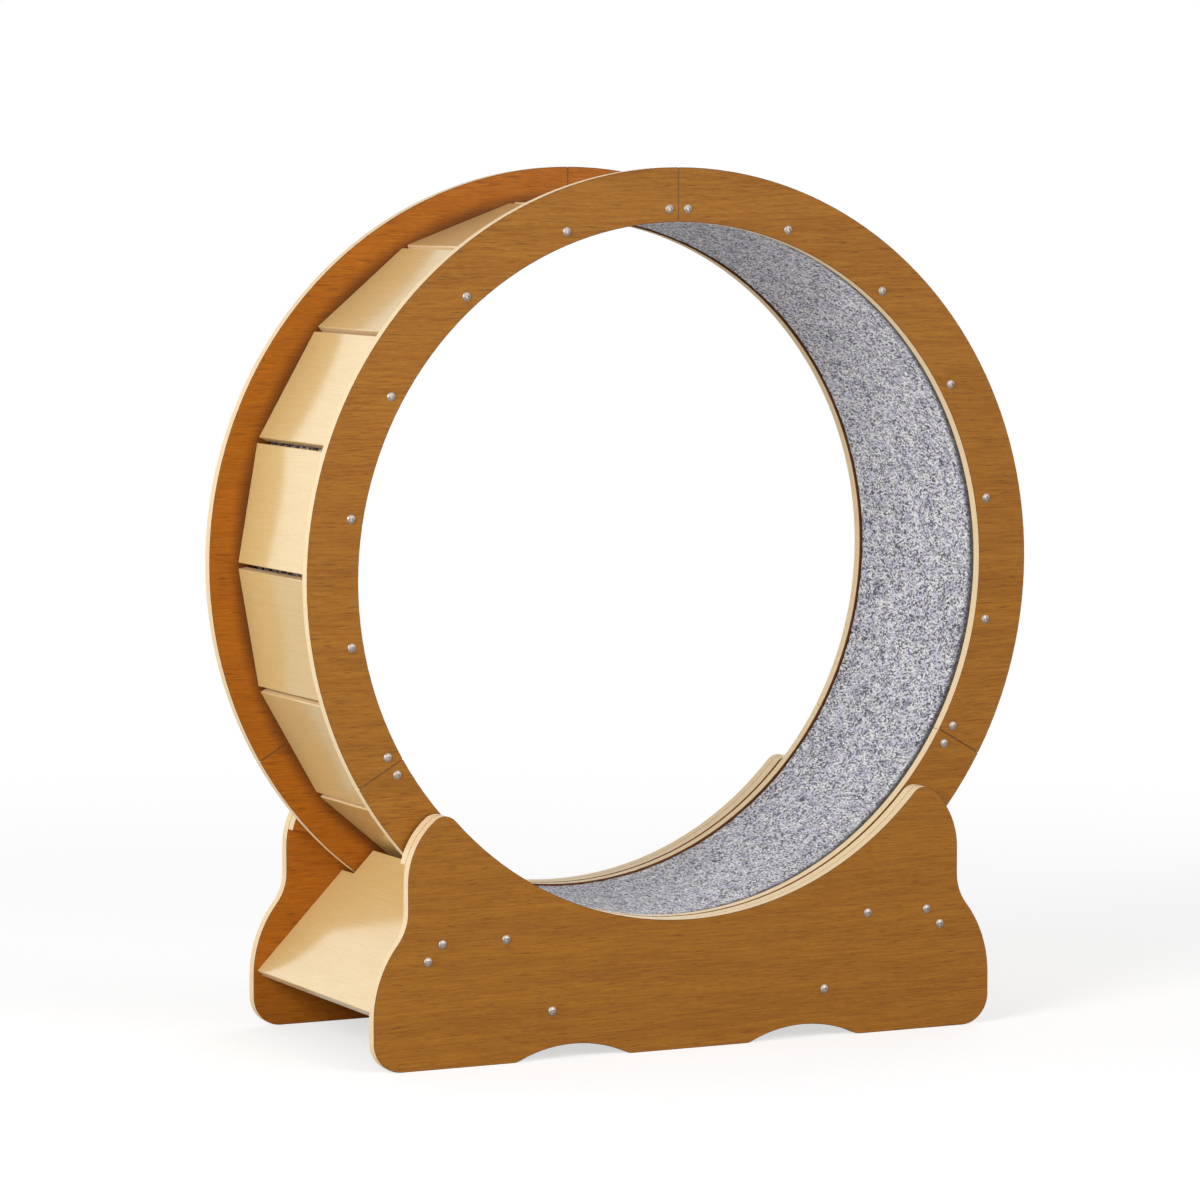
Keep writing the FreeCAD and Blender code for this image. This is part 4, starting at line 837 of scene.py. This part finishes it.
pile_group = carpet.vertex_groups.new(name=PILE_GROUP)
pile_points = [point.index for point in carpet.data.vertices if point.co.x > CARPET_THICKNESS / 2]
pile_group.add(pile_points, 1.0, "REPLACE")

tuft_texture = bpy.data.textures.new("tufts", "VORONOI")
tuft_texture.noise_scale = TUFT_CLUMP
swell_texture = bpy.data.textures.new("swell", "CLOUDS")
swell_texture.noise_scale = SWELL_SIZE
bpy.ops.object.select_all(action="DESELECT")
carpet.select_set(True)
bpy.context.view_layer.objects.active = carpet
for texture, relief in ((tuft_texture, -TUFT_RELIEF), (swell_texture, SWELL_RELIEF)):
    displace = carpet.modifiers.new(texture.name, "DISPLACE")
    displace.texture = texture
    displace.texture_coords = "LOCAL"
    displace.direction = "X"
    displace.strength = relief
    displace.mid_level = 0.5
    # Applying a modifier renews the mesh's groups, so the group is named here and not asked.
    displace.vertex_group = PILE_GROUP
    bpy.ops.object.modifier_apply(modifier=texture.name)
heights = [point.co.x for point in carpet.data.vertices]
print("pile height in mm:", round(1000 * max(heights), 2))

# %% [markdown]
# ## Rolled into the drum
# Now the strip is bent into a loop. The Bend modifier keeps the length of the plane x = 0, which is
# the backing, so the strip closes on itself without stretching, all but the hair-wide joint. The loop
# is then moved to the axle and turned until the joint is where the construction has it: on the left,
# a little below the axle, behind the front ring.

# %% Bend the strip and hang it on the axle
whole_turn = carpet_length / BACKING_RADIUS
bend = carpet.modifiers.new("roll_up", "SIMPLE_DEFORM")
bend.deform_method = "BEND"
bend.deform_axis = "Y"
bend.angle = whole_turn
bpy.ops.object.modifier_apply(modifier="roll_up")
bpy.ops.object.mode_set(mode="EDIT")
bpy.ops.mesh.select_all(action="SELECT")
bpy.ops.transform.translate(value=(AXLE.x - BACKING_RADIUS, AXLE.y, AXLE.z))
bpy.ops.object.mode_set(mode="OBJECT")
print("loop in mm:", [round(1000 * side, 1) for side in carpet.dimensions])

# %% Turn the joint to its place
# Both are angles from the top, clockwise as seen from the front.
JOINT_AFTER_BEND = math.radians(90)
JOINT_IN_PLACE = math.radians(260)

bpy.ops.object.mode_set(mode="EDIT")
# With no window open this operator turns the other way round, so the angle is given backwards.
bpy.ops.transform.rotate(
    value=JOINT_AFTER_BEND - JOINT_IN_PLACE, orient_axis="Y", center_override=tuple(AXLE)
)
bpy.ops.object.mode_set(mode="OBJECT")
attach(carpet, "wheel")
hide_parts("carpet_track")

# %% [markdown]
# ## The floor
# The photograph has a white ground with hardly a shadow. A plain white floor would still come out
# grey, because it isn't lit brightly enough to reach white, and more light would bleach the wheel.
# So the floor gives the camera a mix of its own glow and its lit surface. Where light falls it is
# white, and where the cradle shades it a soft shadow is left. To all other rays it is an
# ordinary pale floor. It fades to pure white a few metres out, so no horizon shows.

# %% Lay the floor
FLOOR_SIZE = 60
FLOOR_PALE = (0.72, 0.72, 0.72, 1)
FLOOR_GLOW = 0.62
FLOOR_LIT_SHARE = 0.50
FADE_START, FADE_END = 1.2, 3.0

bpy.ops.mesh.primitive_plane_add(size=FLOOR_SIZE)
floor = bpy.context.object
floor.name = "studio_floor"
floor_finish = bpy.data.materials.new("pale_floor")
floor_finish.use_nodes = True
tree = floor_finish.node_tree
tree.nodes.clear()
position = add(tree, "ShaderNodeTexCoord").outputs["Object"]
distance = vector_maths(tree, "LENGTH", position, output="Value")
faded = rescale(tree, distance, FADE_START, FADE_END)
lit = add(tree, "ShaderNodeBsdfDiffuse", {"Color": (FLOOR_LIT_SHARE,) * 3 + (1,)})
glow = add(tree, "ShaderNodeEmission", {"Strength": FLOOR_GLOW})
white = add(tree, "ShaderNodeEmission", {"Strength": 1.0})
seen_near = add(tree, "ShaderNodeAddShader", {0: lit.outputs[0], 1: glow.outputs[0]})
seen = add(tree, "ShaderNodeMixShader", {0: faded, 1: seen_near.outputs[0], 2: white.outputs[0]})
pale = add(tree, "ShaderNodeBsdfDiffuse", {"Color": FLOOR_PALE})
rays = add(tree, "ShaderNodeLightPath")
to_camera = rays.outputs["Is Camera Ray"]
shown = add(tree, "ShaderNodeMixShader", {0: to_camera, 1: pale.outputs[0], 2: seen.outputs[0]})
add(tree, "ShaderNodeOutputMaterial", {"Surface": shown.outputs[0]})
floor.data.materials.append(floor_finish)
print("floor laid, fading out at", FADE_END, "m")

# %% [markdown]
# ## The light
# Four soft lamps and an even sky light the wheel. The key lamp stands at the front left, where it
# makes the slats bright and leaves the top of the drum's inside dark. A weaker one in front fills
# the rings' faces, and another behind on the right keeps the far side from going dull. The faint
# rim lamp behind on the left is there for its mirror image in the varnish of the slats. The sky is
# white where the camera, a mirror-like reflection or clear material looks at it, but shines on the
# wheel more weakly, so that pale boards keep their colour.

# %% Light the sky
SKY_LIGHT = 0.32

world = bpy.data.worlds.new("studio")
scene.world = world
world.use_nodes = True
tree = world.node_tree
tree.nodes.clear()
rays = add(tree, "ShaderNodeLightPath")
seen_or_mirrored = maths(tree, "MAXIMUM", rays.outputs["Is Camera Ray"], rays.outputs["Is Glossy Ray"])
direct = maths(tree, "MAXIMUM", seen_or_mirrored, rays.outputs["Is Transmission Ray"])
strength = rescale(tree, direct, 0, 1, SKY_LIGHT, 1.0)
sky = add(tree, "ShaderNodeBackground", {"Color": (1, 1, 1, 1), "Strength": strength})
add(tree, "ShaderNodeOutputWorld", {"Surface": sky.outputs[0]})
print("sky light:", SKY_LIGHT)

# %% Hang the soft lamps
LAMPS = {
    "key_softbox": {"place": (-3.4, -1.9, 2.0), "side": 1.8, "level": 0.64},
    "fill_softbox": {"place": (1.6, -4.4, 2.2), "side": 2.6, "level": 0.31},
    "right_softbox": {"place": (3.4, 3.2, 2.0), "side": 3.4, "level": 0.24},
    "rim_softbox": {"place": (-2.2, 4.0, 2.2), "side": 3.4, "level": 0.09},
}

for name, lamp in LAMPS.items():
    place = Vector(lamp["place"])
    towards = AXLE - place
    facing_axle = towards.to_track_quat("-Z", "Y").to_euler()
    bpy.ops.object.light_add(type="AREA", location=place, rotation=facing_axle)
    softbox = bpy.context.object
    softbox.name = name
    softbox.data.size = lamp["side"]
    # A matt white card at the axle, facing the lamp, would be seen at this level.
    softbox.data.energy = lamp["level"] * math.pi * math.pi * towards.length_squared
    print(name, "watts:", round(softbox.data.energy))
